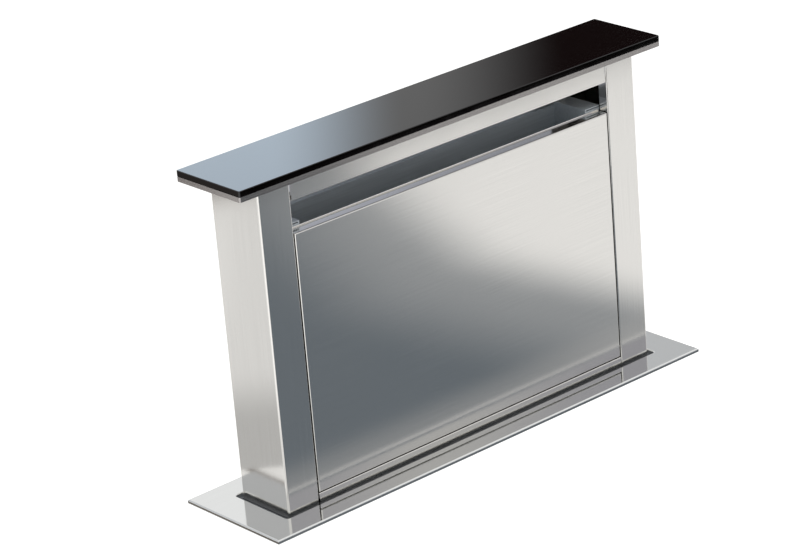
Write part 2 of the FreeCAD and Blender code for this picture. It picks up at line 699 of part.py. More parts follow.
def front_edges(half, *levels):
    """A test for the long edges of a casing's front face at one of some heights."""
    face, length = value("-tower_face"), value(half)
    heights = [value(level) for level in levels]

    def test(start, end):
        forward = near(start.y, face) and near(end.y, face)
        whole = near(abs(start.x), length) and near(start.x, -end.x)
        return forward and whole and any(near(start.z, z) and near(end.z, z) for z in heights)
    return test


def make_front_panel():
    """The large front panel: a folded pan, open at the back, that tilts forward on two pivots."""
    body = new_body("front_panel")
    front = new_sketch(body, "XZ", level="tower_face")
    draw(front, rectangle("-panel_half", "panel_foot", "panel_half", "panel_top"))
    pad(body, front, "panel_depth", back=True)
    hollow = new_sketch(body, "XZ", level="tower_face - panel_depth")
    skin = "tower_sheet"
    draw(hollow, rectangle(f"{skin} - panel_half", f"panel_foot + {skin}",
                           f"panel_half - {skin}", f"panel_top - {skin}"))
    pocket(body, hollow, "panel_depth - tower_sheet", back=True)
    lip = new_sketch(body, "XZ", level="tower_face - panel_depth")
    draw(lip, rectangle("-panel_half", "panel_top - panel_lip", "panel_half",
                        "panel_top + panel_hem"))
    pad(body, lip, "tower_sheet")
    round_edges(body, level_edges(value("panel_top + panel_hem")), "hem_bevel", kind="Chamfer")
    round_edges(body, panel_rim, "sheet_bend")
    pivots = draw_circle(new_sketch(body, "YZ"), "pivot_y", "pivot_z",
                         "pivot_radius + pivot_clearance")
    pocket(body, pivots, "2 * panel_half + 2", both=True)


def panel_rim(start, end):
    """Whether an edge is one of the four round the front panel's face."""
    face = value("-tower_face")
    return near(start.y, face) and near(end.y, face)


def make_lower_front():
    """The fixed front sheet below the panel, which runs down into the slot."""
    body = new_body("lower_front")
    face, skin = "-tower_face", "tower_sheet"
    back = f"{face} + fascia_fold"
    outline = [
        (face, "tower_foot"), (back, "tower_foot"), (back, f"tower_foot + {skin}"),
        (f"{face} + {skin}", f"tower_foot + {skin}"), (f"{face} + {skin}", f"skirt_top - {skin}"),
        (back, f"skirt_top - {skin}"), (back, "skirt_top"), (face, "skirt_top"),
    ]
    half = "(column_inner - skirt_gap)"
    pad(body, draw(new_sketch(body, "YZ"), outline), f"2 * {half}", both=True)
    round_edges(body, front_edges(half, "skirt_top"), "sheet_bend")


def make_duct_side(label, side):
    """One folded sheet: the duct's side wall, the flat shoulder beside the throat and its end."""
    body = new_body(label)
    skin = "tower_sheet"
    face = f"{side} * column_inner"
    out = f"{side} * (column_inner + {skin})"
    throat = f"{side} * throat_half"
    throat_out = f"{side} * (throat_half + {skin})"
    outline = [
        (face, "tower_foot"), (out, "tower_foot"), (out, "throat_top"), (throat, "throat_top"),
        (throat, "throat_top - throat_wall"), (throat_out, "throat_top - throat_wall"),
        (throat_out, f"throat_top - {skin}"), (face, f"throat_top - {skin}"),
    ]
    sketch = draw(new_sketch(body, "XZ", level="-throat_front"), outline)
    pad(body, sketch, "throat_back - throat_front", back=True)
    lip = new_sketch(body, "XZ", level="-throat_front")
    draw(lip, rectangle(throat, f"panel_top - {skin}", out, f"throat_top - 2 * {skin}"))
    pad(body, lip, skin, back=True)
    shaft_hole = new_sketch(body, "YZ", level=face)
    draw_circle(shaft_hole, "shaft_y", "shaft_z", "shaft_radius + shaft_hole_gap")
    pocket(body, shaft_hole, f"4 * {skin}", both=True)


def make_back_plate():
    """The throat's back wall, with a ledge above it and a fold below it."""
    body = new_body("throat_back_plate")
    top, foot = "(panel_top + ledge_rise)", "back_plate_foot"
    skin = "tower_sheet"
    rear = "(tower_face - tower_sheet)"
    outline = [
        (rear, top), ("throat_back", top), ("throat_back", foot), (rear, foot),
        (rear, f"{foot} + {skin}"), (f"throat_back + {skin}", f"{foot} + {skin}"),
        (f"throat_back + {skin}", f"{top} - {skin}"), (rear, f"{top} - {skin}"),
    ]
    half = "(column_inner - joint_gap - tower_sheet)"
    pad(body, draw(new_sketch(body, "YZ"), outline), f"2 * {half}", both=True)


# Grease filters ---------------------------------------------------------------------------------

def new_leaning_body(label):
    """A body in the filters' frame: its z runs up along the lean."""
    body = new_body(label, y="filter_foot_y", z="filter_foot_z")
    body.Placement = FreeCAD.Placement(
        body.Placement.Base, FreeCAD.Rotation(FreeCAD.Vector(-1, 0, 0), value("filter_tilt")))
    bind(body, "Placement.Rotation.Angle", "filter_tilt")
    return body


def make_filter(side_name, side):
    """A filter cassette: a folded aluminium frame round a pad of expanded mesh."""
    low = f"{side} * filter_gap / 2"
    high = f"{side} * (filter_gap / 2 + cassette_width)"
    border = f"{side} * filter_border"
    half = "filter_thickness / 2"
    frame = new_leaning_body(f"{side_name}_filter_frame")
    ring = new_sketch(frame, "XZ", level=f"-{half}")
    draw(ring, rectangle(low, 0, high, "filter_length"))
    draw(ring, rectangle(f"{low} + {border}", "filter_border", f"{high} - {border}",
                         "filter_length - filter_border"))
    pad(frame, ring, "filter_thickness")
    edge = "(filter_border - filter_groove)"
    inset = f"{side} * {edge}"
    pad_outline = rectangle(f"{low} + {inset}", edge, f"{high} - {inset}",
                            f"filter_length - {edge}")
    core = "filter_thickness - 2 * filter_sheet"
    groove = new_sketch(frame, "XZ", level=f"filter_sheet - {half}")
    pocket(frame, draw(groove, pad_outline), core, back=True)

    mesh = new_leaning_body(f"{side_name}_filter_mesh")
    pad(mesh, draw(new_sketch(mesh, "XZ", level=f"filter_sheet - {half}"), pad_outline), core)


def make_filter_holders():
    """The ledge that the filters stand in and the deeper channel that holds their tops."""
    skin, room = "holder_sheet", "(filter_thickness / 2 + filter_play)"
    half = "(column_inner - joint_gap)"
    ledge = new_leaning_body("filter_ledge")
    outline = [
        (f"-{room} - {skin}", f"-{skin}"), (f"{room} + {skin}", f"-{skin}"),
        (f"{room} + {skin}", "ledge_wall"), (room, "ledge_wall"), (room, 0),
        (f"-{room}", 0), (f"-{room}", "ledge_wall"), (f"-{room} - {skin}", "ledge_wall"),
    ]
    pad(ledge, draw(new_sketch(ledge, "YZ"), outline), f"2 * {half}", both=True)

    half = "(column_inner - joint_gap - tower_sheet)"
    channel = new_leaning_body("filter_channel")
    roof = "(filter_length + filter_lift + channel_spare)"
    mouth = "(filter_length - channel_hold)"
    outline = [
        (f"-{room} - {skin}", mouth), (f"-{room}", mouth), (f"-{room}", roof), (room, roof),
        (room, mouth), (f"{room} + {skin}", mouth), (f"{room} + {skin}", f"{roof} + {skin}"),
        (f"-{room} - {skin}", f"{roof} + {skin}"),
    ]
    pad(channel, draw(new_sketch(channel, "YZ"), outline), f"2 * {half}", both=True)


# Panel fittings and control board ---------------------------------------------------------------

def make_panel_fittings():
    """Pivot pins in the columns' lips and spring-loaded ball catches near the panel's top."""
    pins, catches = [], []
    for side in (LEFT, RIGHT):
        word = "left" if side == LEFT else "right"
        inner_lip = "(column_inner + tower_sheet)"
        shank = f"({inner_lip} - panel_half + pivot_reach)"
        shank_x = "panel_half - pivot_reach" if side == RIGHT else f"-{inner_lip}"
        head_x = inner_lip if side == RIGHT else f"-{inner_lip} - pivot_head"
        pins.append(fuse(f"{word}_pivot", [
            cylinder(f"{word}_pivot_shank", (shank_x, "pivot_y", "pivot_z"), "pivot_radius",
                     shank, axis="x"),
            cylinder(f"{word}_pivot_head", (head_x, "pivot_y", "pivot_z"),
                     "pivot_radius + pivot_brim", "pivot_head", axis="x"),
        ]))
        barrel_x = inner_lip if side == RIGHT else f"-{inner_lip} - catch_barrel"
        catch_at = ("throat_front - panel_depth / 2", "panel_top - catch_drop")
        ball = document.addObject("Part::Sphere", f"{word}_catch_ball")
        bind(ball, "Radius", "catch_radius")
        place(ball, f"{side} * (panel_half + running_gap + catch_radius)", *catch_at)
        catches.append(fuse(f"{word}_catch", [
            cylinder(f"{word}_catch_barrel", (barrel_x, *catch_at),
                     "catch_radius + catch_barrel_wall", "catch_barrel", axis="x"),
            ball,
        ]))
    node(group("panel_pivot_pins", pins))
    node(group("panel_catches", catches))


def make_control_board():
    """The touch control board under the glass, against the lid's tray."""
    low = ("board_x - board_length", "-board_depth / 2", "deck - board_thickness")
    node(block("control_board", low, ("board_length", "board_depth", "board_thickness")))


# Lift -------------------------------------------------------------------------------------------

def gear_face(module, teeth, play, first_angle):
    """The face of a spur gear in the YZ plane, its teeth with involute flanks as short chords.

    The first tooth points first_angle round from +Y, counted towards +Z.
    """
    pitch = module * teeth / 2
    base = pitch * math.cos(PRESSURE_ANGLE)
    root, tip = pitch - DEDENDUM * module, pitch + module
    involute = math.tan(PRESSURE_ANGLE) - PRESSURE_ANGLE
    half_tooth = math.pi / (2 * teeth) - play / (2 * pitch) + involute

    def flank_angle(radius):
        roll = math.sqrt(max((radius / base) ** 2 - 1, 0))
        return half_tooth - (roll - math.atan(roll))

    start = max(root, base)
    radii = [start + (tip - start) * step / 2 for step in range(3)]
    corners = []
    for tooth in range(teeth):
        middle = first_angle + 2 * math.pi * tooth / teeth
        rising = [(radius, middle - flank_angle(radius)) for radius in radii]
        falling = [(radius, middle + flank_angle(radius)) for radius in reversed(radii)]
        corners += [(root, rising[0][1])] if root < start else []
        corners += rising + falling
        corners += [(root, falling[-1][1])] if root < start else []
    points = [FreeCAD.Vector(0, radius * math.cos(angle), radius * math.sin(angle))
              for radius, angle in corners]
    return Part.Face(Part.makePolygon(points + points[:1]))


def make_gear(label, module, teeth, width, bore, middle, hub=None, first_angle=0.0):
    """A spur gear with its axle along X, and a hub on one side where one is given."""
    face = gear_face(value(module), round(value(teeth)), value("tooth_play"), first_angle)
    shape = face.extrude(FreeCAD.Vector(value(width), 0, 0))
    if hub:
        radius, start, length = (value(text) for text in hub)
        shape = shape.fuse(Part.makeCylinder(radius, length, FreeCAD.Vector(start, 0, 0),
                                             FreeCAD.Vector(1, 0, 0)))
    if bore:
        low, length = shape.BoundBox.XMin, shape.BoundBox.XLength
        shape = shape.cut(Part.makeCylinder(value(bore), 3 * length,
                                            FreeCAD.Vector(low - length, 0, 0),
                                            FreeCAD.Vector(1, 0, 0)))
    return feature(label, shape, *middle)


def make_rack(label, side):
    """A steel rack on the chassis' side wall, its teeth towards the front."""
    module = value("gear_module")
    pitch = math.pi * module
    reach = value("pinion_pitch") + 2 * module
    count = 2 * math.ceil((value("travel") / 2 + reach) / pitch) + 1
    centre = value("shaft_z") - value("travel") / 2
    gap_index = round((value("shaft_z") - centre) / pitch)
    start = value("shaft_z") - (gap_index + count // 2) * pitch
    pitch_y = value("shaft_y + pinion_pitch")
    addendum = value("rack_addendum")
    depth = DEDENDUM * module
    lean_tip = addendum * math.tan(PRESSURE_ANGLE)
    lean_root = depth * math.tan(PRESSURE_ANGLE)
    half = pitch / 4 + value("tooth_play") / 4
    points = []
    for index in range(count):
        gap = start + index * pitch
        for y_step, z_step in ((-addendum, -half - lean_tip), (depth, lean_root - half),
                               (depth, half - lean_root), (-addendum, half + lean_tip)):
            points.append((pitch_y + y_step, gap + z_step))
    back = pitch_y + depth + value("rack_back")
    points = [(back, start - pitch / 2), (pitch_y - addendum, start - pitch / 2)] + points
    points += [(pitch_y - addendum, start + (count - 0.5) * pitch),
               (back, start + (count - 0.5) * pitch)]
    corners = [FreeCAD.Vector(0, y, z) for y, z in points]
    face = Part.Face(Part.makePolygon(corners + corners[:1]))
    shape = face.extrude(FreeCAD.Vector(value("rack_width"), 0, 0))
    feature(label, shape, x="wall_end - rack_width" if side == RIGHT else "-wall_end")


def make_lift():
    """The racks, the shaft across the tower's foot with its pinions, and the motor's gears."""
    axle = ("shaft_y", "shaft_z")
    for side, word in ((LEFT, "left"), (RIGHT, "right")):
        make_rack(f"{word}_rack", side)
        inner = "pinion_middle - pinion_width / 2"
        low = inner if side == RIGHT else "-pinion_middle - pinion_width / 2"
        hub_start = "-pinion_hub" if side == RIGHT else "pinion_width"
        hub = ("shaft_radius + pinion_hub_wall", hub_start, "pinion_hub")
        make_gear(f"{word}_pinion", "gear_module", "pinion_teeth", "pinion_width",
                  "shaft_radius", (low, *axle), hub=hub)
    shaft = document.addObject("Part::Cylinder", "lift_shaft")
    bind(shaft, "Radius", "shaft_radius")
    bind(shaft, "Height", "2 * (pinion_middle + pinion_width / 2)")
    shaft.Placement.Rotation = FreeCAD.Rotation(FreeCAD.Vector(0, 1, 0), 90)
    place(shaft, "-pinion_middle - pinion_width / 2", *axle)
    node(shaft)
    make_gear("shaft_gear", "drive_module", "shaft_gear_teeth", "drive_width", "shaft_radius",
              ("drive_x", *axle),
              hub=("shaft_radius + drive_hub_wall", "drive_width", "drive_hub"))
    half_pitch = math.pi / value("motor_gear_teeth")
    make_gear("motor_gear", "drive_module", "motor_gear_teeth", "drive_width", None,
              ("drive_x", "motor_y", "shaft_z"),
              hub=("output_radius", "drive_width", "output_length"), first_angle=half_pitch)
    make_bearings(axle)
    make_lift_beam()
    make_lift_motor()


def make_bearings(axle):
    """Flanged bushes that carry the shaft in the columns' outer walls."""
    bushes = []
    for side, word in ((LEFT, "left"), (RIGHT, "right")):
        wall, length = "(tower_end - tower_sheet)", "(bearing_barrel - bearing_inset)"
        flange_x = f"{wall} - bearing_flange" if side == RIGHT else f"-{wall}"
        barrel_x = wall if side == RIGHT else f"-{wall} - {length}"
        body = fuse(f"{word}_bush_body", [
            cylinder(f"{word}_bush_flange", (flange_x, *axle), "bearing_radius + bearing_brim",
                     "bearing_flange", "x"),
            cylinder(f"{word}_bush_barrel", (barrel_x, *axle), "bearing_radius", length, "x"),
        ])
        bore = cylinder(f"{word}_bush_bore", (f"{side} * {wall} - 2 * bearing_barrel", *axle),
                        "shaft_radius + bearing_clearance", "4 * bearing_barrel", "x")
        bushes.append(cut(f"{word}_bush", body, [bore]))
    node(group("shaft_bearings", bushes))


def make_lift_beam():
    """The channel across the tower's foot, with the plate that carries the motor."""
    body = new_body("lift_beam")
    rear = "(tower_face - tower_sheet)"
    front = f"({rear} - beam_depth)"
    foot, top = "tower_foot", "(tower_foot + beam_height)"
    skin = "beam_sheet"
    outline = [
        (front, foot), (rear, foot), (rear, top), (front, top), (front, f"{top} - {skin}"),
        (f"{rear} - {skin}", f"{top} - {skin}"), (f"{rear} - {skin}", f"{foot} + {skin}"),
        (front, f"{foot} + {skin}"),
    ]
    half = "(column_inner - joint_gap - tower_sheet)"
    pad(body, draw(new_sketch(body, "YZ"), outline), f"2 * {half}", both=True)
    plate = new_sketch(body, "YZ", level="plate_x")
    draw(plate, rectangle("motor_y - motor_radius - motor_margin", foot, rear, top))
    pad(body, plate, skin)
    holes = new_sketch(body, "YZ", level="plate_x")
    draw_circle(holes, "shaft_y", "shaft_z", "shaft_radius + 3 * shaft_hole_gap")
    draw_circle(holes, "motor_y", "shaft_z", "motor_radius / 2")
    pocket(body, holes, f"4 * {skin}", both=True)


def make_lift_motor():
    """The motor, its gearbox and the output shaft that carries the small gear."""
    start = "(plate_x + beam_sheet)"
    axle = ("motor_y", "shaft_z")
    gearbox = fuse("gearbox_body", [
        cylinder("gearbox_case", (start, *axle), "motor_radius", "gearbox_length", "x"),
        cylinder("gearbox_neck", (f"{start} - beam_sheet - gearbox_boss", *axle),
                 "motor_radius / 2 - gearbox_fit", "beam_sheet + 2 * gearbox_boss", "x"),
    ])
    bore = cylinder("gearbox_bore", (f"{start} - output_length", *axle),
                    "output_radius + bearing_clearance", "output_length + drive_width + 2", "x")
    node(cut("lift_gearbox", gearbox, [bore]))
    motor_start = f"({start} + gearbox_length)"
    node(fuse("lift_motor", [
        cylinder("motor_can", (motor_start, *axle), "motor_radius - motor_step", "motor_length",
                 "x"),
        cylinder("motor_end", (f"{motor_start} + motor_length", *axle), "motor_radius / 2",
                 "motor_cap", "x"),
    ]))


def make_guides():
    """The rails on the chassis' side walls and the plastic shoes on the columns."""
    shoes = []
    for side, word in ((LEFT, "left"), (RIGHT, "right")):
        rail = new_body(f"{word}_guide_rail", z="rail_foot")
        out, base = f"{side} * (wall_end - rail_height)", f"{side} * wall_end"
        wall = f"{side} * rail_wall"
        half, mouth = "rail_width / 2", "rail_mouth / 2"
        outline = [
            (base, f"rail_y - {half}"), (out, f"rail_y - {half}"), (out, f"rail_y - {mouth}"),
            (f"{out} + {wall}", f"rail_y - {mouth}"),
            (f"{out} + {wall}", f"rail_y - {half} + rail_wall"),
            (f"{base} - {wall}", f"rail_y - {half} + rail_wall"),
            (f"{base} - {wall}", f"rail_y + {half} - rail_wall"),
            (f"{out} + {wall}", f"rail_y + {half} - rail_wall"),
            (f"{out} + {wall}", f"rail_y + {mouth}"), (out, f"rail_y + {mouth}"),
            (out, f"rail_y + {half}"), (base, f"rail_y + {half}"),
        ]
        pad(rail, draw(new_sketch(rail, "XY"), outline), "rail_top - rail_foot")
        for drop in ("shoe_drop", "shoe_drop + shoe_spacing"):
            shoes.append(make_shoe(f"{word}_shoe_{len(shoes)}", side, drop))
    node(group("guide_shoes", shoes))


def make_shoe(label, side, drop):
    """A shoe: a foot on the column, a neck through the rail's mouth and a head inside it."""
    foot_depth = "(wall_end - rail_height - shoe_gap - tower_end)"
    neck_end = "(wall_end - rail_height + rail_wall + shoe_play)"
    head_end = "(wall_end - rail_wall - shoe_play)"
    rows = [("tower_end", foot_depth, "rail_width - shoe_foot"),
            (f"(tower_end + {foot_depth})", f"({neck_end} - tower_end - {foot_depth})",
             "rail_mouth - 2 * shoe_play"),
            (neck_end, f"({head_end} - {neck_end})", "rail_width - 2 * rail_wall - 2 * shoe_play")]
    pieces = []
    for index, (start, length, width) in enumerate(rows):
        low_x = start if side == RIGHT else f"-{start} - {length}"
        pieces.append(block(f"{label}_{index}", (low_x, f"rail_y - ({width}) / 2",
                                                 f"-({drop}) - shoe_height"),
                            (length, width, "shoe_height")))
    return fuse(label, pieces)


# Chassis ----------------------------------------------------------------------------------------

def make_chassis():
    """The folded sheet box under the worktop: two ends, a front with an air window, a back."""
    for side, word in ((LEFT, "left"), (RIGHT, "right")):
        body = new_body(f"chassis_{word}")
        face, out = f"{side} * wall_end", f"{side} * (wall_end + chassis_sheet)"
        lip = f"{side} * (wall_end + chassis_sheet + chassis_lip)"
        outline = [(face, "chassis_foot"), (out, "chassis_foot"),
                   (out, "seat_top - chassis_sheet"), (lip, "seat_top - chassis_sheet"),
                   (lip, "seat_top"), (face, "seat_top")]
        pad(body, draw(new_sketch(body, "XZ"), outline), "2 * wall_face", both=True)
    for side, word in ((-1, "front"), (1, "back")):
        body = new_body(f"chassis_{word}")
        face, out = f"{side} * wall_face", f"{side} * (wall_face + chassis_sheet)"
        lip = f"{side} * (wall_face + chassis_sheet + chassis_lip)"
        outline = [(face, "chassis_foot"), (out, "chassis_foot"),
                   (out, "seat_top - chassis_sheet"), (lip, "seat_top - chassis_sheet"),
                   (lip, "seat_top"), (face, "seat_top")]
        pad(body, draw(new_sketch(body, "YZ"), outline), "chassis_length", both=True)
        if word == "front":
            window = new_sketch(body, "XZ", level="wall_face")
            middle = "(chassis_foot + blower_height / 2)"
            draw(window, rectangle("-window_width / 2", f"{middle} - window_height / 2",
                                   "window_width / 2", f"{middle} + window_height / 2"))
            pocket(body, window, "4 * chassis_sheet", both=True)
    node(block("chassis_bottom", ("-wall_end", "-wall_face", "chassis_foot"),
               ("2 * wall_end", "2 * wall_face", "chassis_sheet")))


def make_brackets_and_stops():
    """Slotted brackets that hold the chassis under the worktop, and rubber stops in its floor."""
    brackets = []
    for side, word in ((LEFT, "left"), (RIGHT, "right")):
        start = "(wall_end + chassis_sheet)"
        wall_x = start if side == RIGHT else f"-{start} - bracket_sheet"
        shelf_x = start if side == RIGHT else f"-{start} - bracket_reach"
        top = "(-bracket_drop)"
        low_y = "-bracket_depth / 2"
        body = fuse(f"{word}_bracket_body", [
            block(f"{word}_bracket_wall", (wall_x, low_y, f"{top} - bracket_height"),
                  ("bracket_sheet", "bracket_depth", "bracket_height")),
            block(f"{word}_bracket_shelf", (shelf_x, low_y, f"{top} - bracket_sheet"),
                  ("bracket_reach", "bracket_depth", "bracket_sheet")),
        ])
        slots = []
        for row, place_y in enumerate(("-bracket_slots / 2", "bracket_slots / 2")):
            half = "(bracket_slot_length / 2 - bracket_slot_radius)"
            middle = f"{side} * ({start} + bracket_slot_out)"
            low_z = f"{top} - 2 * bracket_sheet"
            slots.append(fuse(f"{word}_slot_{row}", [
                cylinder(f"{word}_slot_{row}_in", (f"{middle} - {half}", place_y, low_z),
                         "bracket_slot_radius", "3 * bracket_sheet"),
                cylinder(f"{word}_slot_{row}_out", (f"{middle} + {half}", place_y, low_z),
                         "bracket_slot_radius", "3 * bracket_sheet"),
                block(f"{word}_slot_{row}_mid",
                      (f"{middle} - {half}", f"{place_y} - bracket_slot_radius", low_z),
                      (f"2 * {half}", "2 * bracket_slot_radius", "3 * bracket_sheet")),
            ]))
        brackets.append(cut(f"{word}_bracket", body, slots))
    node(group("worktop_brackets", brackets))
    beam_middle = "tower_face - tower_sheet - beam_depth / 2"
    stops = [cylinder(f"stop_{index}",
                      (f"{side} * (column_inner - buffer_inset)", beam_middle, "floor"),
                      "buffer_radius", "buffer_height")
             for index, side in enumerate((LEFT, RIGHT))]
    node(group("buffer_stops", stops))


# Blower -----------------------------------------------------------------------------------------

def make_blower_box():
    """The sheet box in front of the chassis, open to it, with a round hole in its floor."""
    body = new_body("blower_box")
    faces = rectangle("-blower_width / 2", "chassis_foot", "blower_width / 2", "blower_top")
    pad(body, draw(new_sketch(body, "XZ", level="-blower_back"), faces), "blower_depth")
    inside = rectangle("blower_sheet - blower_width / 2", "chassis_foot + blower_sheet",
                       "blower_width / 2 - blower_sheet", "blower_top - blower_sheet")
    pocket(body, draw(new_sketch(body, "XZ", level="-blower_back"), inside),
           "blower_depth - blower_sheet", back=True)
    hole = draw_circle(new_sketch(body, "XY", level="chassis_foot"), 0, "collar_y",
                       "collar_radius - collar_wall")
    pocket(body, hole, "4 * blower_sheet", both=True)


def volute_face(grow, extra=0.0):
    """The side outline of the fan housing about its axle in the YZ plane.

    Three quarter arcs, each wider than the last, run from the tongue below the axle round the
    back and the top to the front, where the wall goes straight down to the mouth. The walls move
    out by grow, and the mouth down by extra.
    """
    start, step = value("scroll_start") + grow, value("scroll_growth")
    point = FreeCAD.Vector(0, 0, -start)
    first, edges, angle = point, [], -math.pi / 2
    for quarter in range(3):
        radius = start + step * (quarter + 0.5)
        centre = point - FreeCAD.Vector(0, math.cos(angle), math.sin(angle)) * radius
        stops = []
        for turn in (angle, angle + math.pi / 4, angle + math.pi / 2):
            stops.append(centre + FreeCAD.Vector(0, math.cos(turn), math.sin(turn)) * radius)
        edges.append(Part.Arc(*stops).toShape())
        point = stops[2]
        angle += math.pi / 2
    mouth, tongue = -value("mouth_drop") - extra, grow - value("tongue_y")
    corners = [point, FreeCAD.Vector(0, point.y, mouth), FreeCAD.Vector(0, tongue, mouth),
               FreeCAD.Vector(0, tongue, -start), first]
    edges += [Part.makeLine(*pair) for pair in zip(corners, corners[1:])]
    return Part.Face(Part.Wire(edges))


def make_scroll():
    """The fan housing: a volute with a round air eye on each side and its mouth at the bottom."""
    wall, width = value("scroll_wall"), value("scroll_width")
    outer = volute_face(wall).extrude(FreeCAD.Vector(width, 0, 0))
    inner = volute_face(0, extra=1).extrude(FreeCAD.Vector(width - 2 * wall, 0, 0))
    inner.translate(FreeCAD.Vector(wall, 0, 0))
    eyes = Part.makeCylinder(value("eye_radius"), 2 * width, FreeCAD.Vector(-width / 2, 0, 0),
                             FreeCAD.Vector(1, 0, 0))
    feature("fan_housing", outer.cut(inner).cut(eyes), "-scroll_width / 2", "fan_y", "fan_z")


def closed_outline(points):
    """A closed wire of straight edges through some corners."""
    return Part.makePolygon(points + points[:1])


def make_transition():
    """The outlet piece from the housing's rectangular mouth to the round hole in the floor."""
    top, foot = value("fan_z - mouth_drop"), value("chassis_foot + blower_sheet")
    wall = value("scroll_wall")
    front = value("fan_y") + volute_face(wall).BoundBox.YMin
    rear = value("fan_y - tongue_y") + wall
    half, middle = value("scroll_width / 2"), value("collar_y")
    folds = 5

    def shell(inset, radius):
        corners = [(half - inset, rear - inset), (inset - half, rear - inset),
                   (inset - half, front + inset), (half - inset, front + inset)]
        faces, ring = [], []
        for quarter, (x, y) in enumerate(corners):
            corner = FreeCAD.Vector(x, y, top)
            turns = [math.radians(90 * (quarter + step / folds)) for step in range(folds + 1)]
            arc = [FreeCAD.Vector(radius * math.cos(turn), middle + radius * math.sin(turn), foot)
                   for turn in turns]
            faces += [closed_outline([corner, *pair]) for pair in zip(arc, arc[1:])]
            x, y = corners[(quarter + 1) % 4]
            faces.append(closed_outline([corner, arc[-1], FreeCAD.Vector(x, y, top)]))
            ring += arc[:-1]
        faces.append(closed_outline([FreeCAD.Vector(x, y, top) for x, y in corners]))
        faces.append(closed_outline(ring))
        return Part.Solid(Part.Shell([Part.Face(outline) for outline in faces]))

    radius = value("collar_radius - collar_wall")
    feature("outlet_transition", shell(0, radius + wall).cut(shell(wall, radius)))


def make_impeller():
    """The fan wheel: forward-curved blades between two rings, a middle disc, a hub and axle."""
    inner, outer = value("impeller_inner"), value("impeller_radius")
    width, sheet = value("impeller_width"), value("blade_sheet")
    count = round(value("blade_count"))
    along = FreeCAD.Vector(1, 0, 0)
    blade_end = (width - sheet) / 2
    hub_length, axle_radius = value("wheel_hub"), value("fan_shaft_radius")
    axle_end = value("axle_end")
    axle_length = axle_end + value("motor_stand + axle_reach")

    def spot(radius, angle):
        return FreeCAD.Vector(-blade_end, radius * math.cos(angle), radius * math.sin(angle))

    lead, thick = math.radians(value("blade_lead")), sheet / inner
    middle_radius = (inner + outer) / 2
    tip = outer - sheet / 2
    outline = [spot(inner, 0), spot(middle_radius, -lead / 3), spot(tip, lead),
               spot(tip, lead + thick), spot(middle_radius, thick - lead / 3), spot(inner, thick)]
    blade = Part.Face(closed_outline(outline)).extrude(along * 2 * blade_end)
    blades = []
    for index in range(count):
        copy = blade.copy()
        copy.rotate(FreeCAD.Vector(0, 0, 0), along, 360.0 * index / count)
        blades.append(copy)

    def disc(radius, start, length):
        return Part.makeCylinder(radius, length, along * start, along)

    rim, bore = value("wheel_ring"), inner - value("wheel_ring_inset")
    rounds = [disc(outer, start, rim).cut(disc(bore, start, rim))
              for start in (-width / 2, width / 2 - rim)]
    rounds += [disc(outer, -sheet, 2 * sheet),
               disc(axle_radius + value("wheel_hub_wall"), -hub_length / 2, hub_length),
               disc(axle_radius, -axle_end, axle_length)]
    wheel = rounds[0].multiFuse(blades + rounds[1:])
    feature("fan_impeller", wheel, 0, "fan_y", "fan_z")


def make_fan_motor():
    """The motor inside the wheel's right half and its three arms on the housing."""
    axle = ("fan_y", "fan_z")
    can = cylinder("fan_motor_can", ("motor_stand", *axle), "fan_motor_radius", "fan_motor_length",
                   "x")
    bore = cylinder("fan_motor_bore", ("motor_stand - 1", *axle),
                    "fan_shaft_radius + bearing_clearance", "axle_reach + 3", "x")
    node(cut("fan_motor", can, [bore]))
    start, sheet = "scroll_width / 2", "arm_sheet"
    plate = cylinder("arm_plate", (start, *axle), "fan_motor_radius + arm_ring", sheet, "x")
    hole = cylinder("arm_plate_hole", (f"{start} - {sheet}", *axle),
                    "fan_motor_radius + joint_gap", f"3 * {sheet}", "x")
    ring = cut("arm_plate_open", plate, [hole])
    arms = []
    for index in range(3):
        arm = document.addObject("Part::Box", f"motor_arm_{index}")
        bind(arm, "Length", sheet)
        bind(arm, "Width", "arm_width")
        bind(arm, "Height", "eye_radius + arm_overlap - fan_motor_radius - arm_ring / 2")
        angle = 120 * index
        arm.Placement.Rotation = FreeCAD.Rotation(FreeCAD.Vector(1, 0, 0), angle)
        side_y, side_z = math.cos(math.radians(angle)), math.sin(math.radians(angle))
        reach, half = "(fan_motor_radius + arm_ring / 2)", "arm_width / 2"
        place(arm, start, f"fan_y - {half} * {side_y:.6f} - {reach} * {side_z:.6f}",
              f"fan_z - {half} * {side_z:.6f} + {reach} * {side_y:.6f}")
        arms.append(arm)
    node(fuse("fan_motor_bracket", [ring] + arms))


def make_outlet():
    """The round outlet collar under the blower box, its damper pin and two half-round flaps."""
    foot = "(chassis_foot - collar_length)"
    middle = (0, "collar_y")
    tube = fuse("collar_body", [
        cylinder("collar_tube", (*middle, foot), "collar_radius", "collar_length"),
        cylinder("collar_flange", (*middle, "chassis_foot - collar_wall"),
                 "collar_radius + collar_rim", "collar_wall"),
    ])
    inside = cylinder("collar_inside", (*middle, f"{foot} - 1"), "collar_radius - collar_wall",
                      "collar_length + 2")
    pin_hole = cylinder("collar_pin_hole", ("-2 * collar_radius", "collar_y", "flap_z"),
                        "flap_pin_radius + bearing_clearance", "4 * collar_radius", "x")
    node(cut("outlet_collar", tube, [inside, pin_hole]))
    node(cylinder("damper_pin", ("joint_gap - collar_radius", "collar_y", "flap_z"),
                  "flap_pin_radius", "2 * (collar_radius - joint_gap)", "x"))
    outer, inner = value("knuckle_outer"), value("knuckle_inner")
    middle_half = inner - value("knuckle_gap")
    make_flap("front_damper_flap", -1, [(-outer, -inner), (inner, outer)])
    make_flap("rear_damper_flap", 1, [(-middle_half, middle_half)])


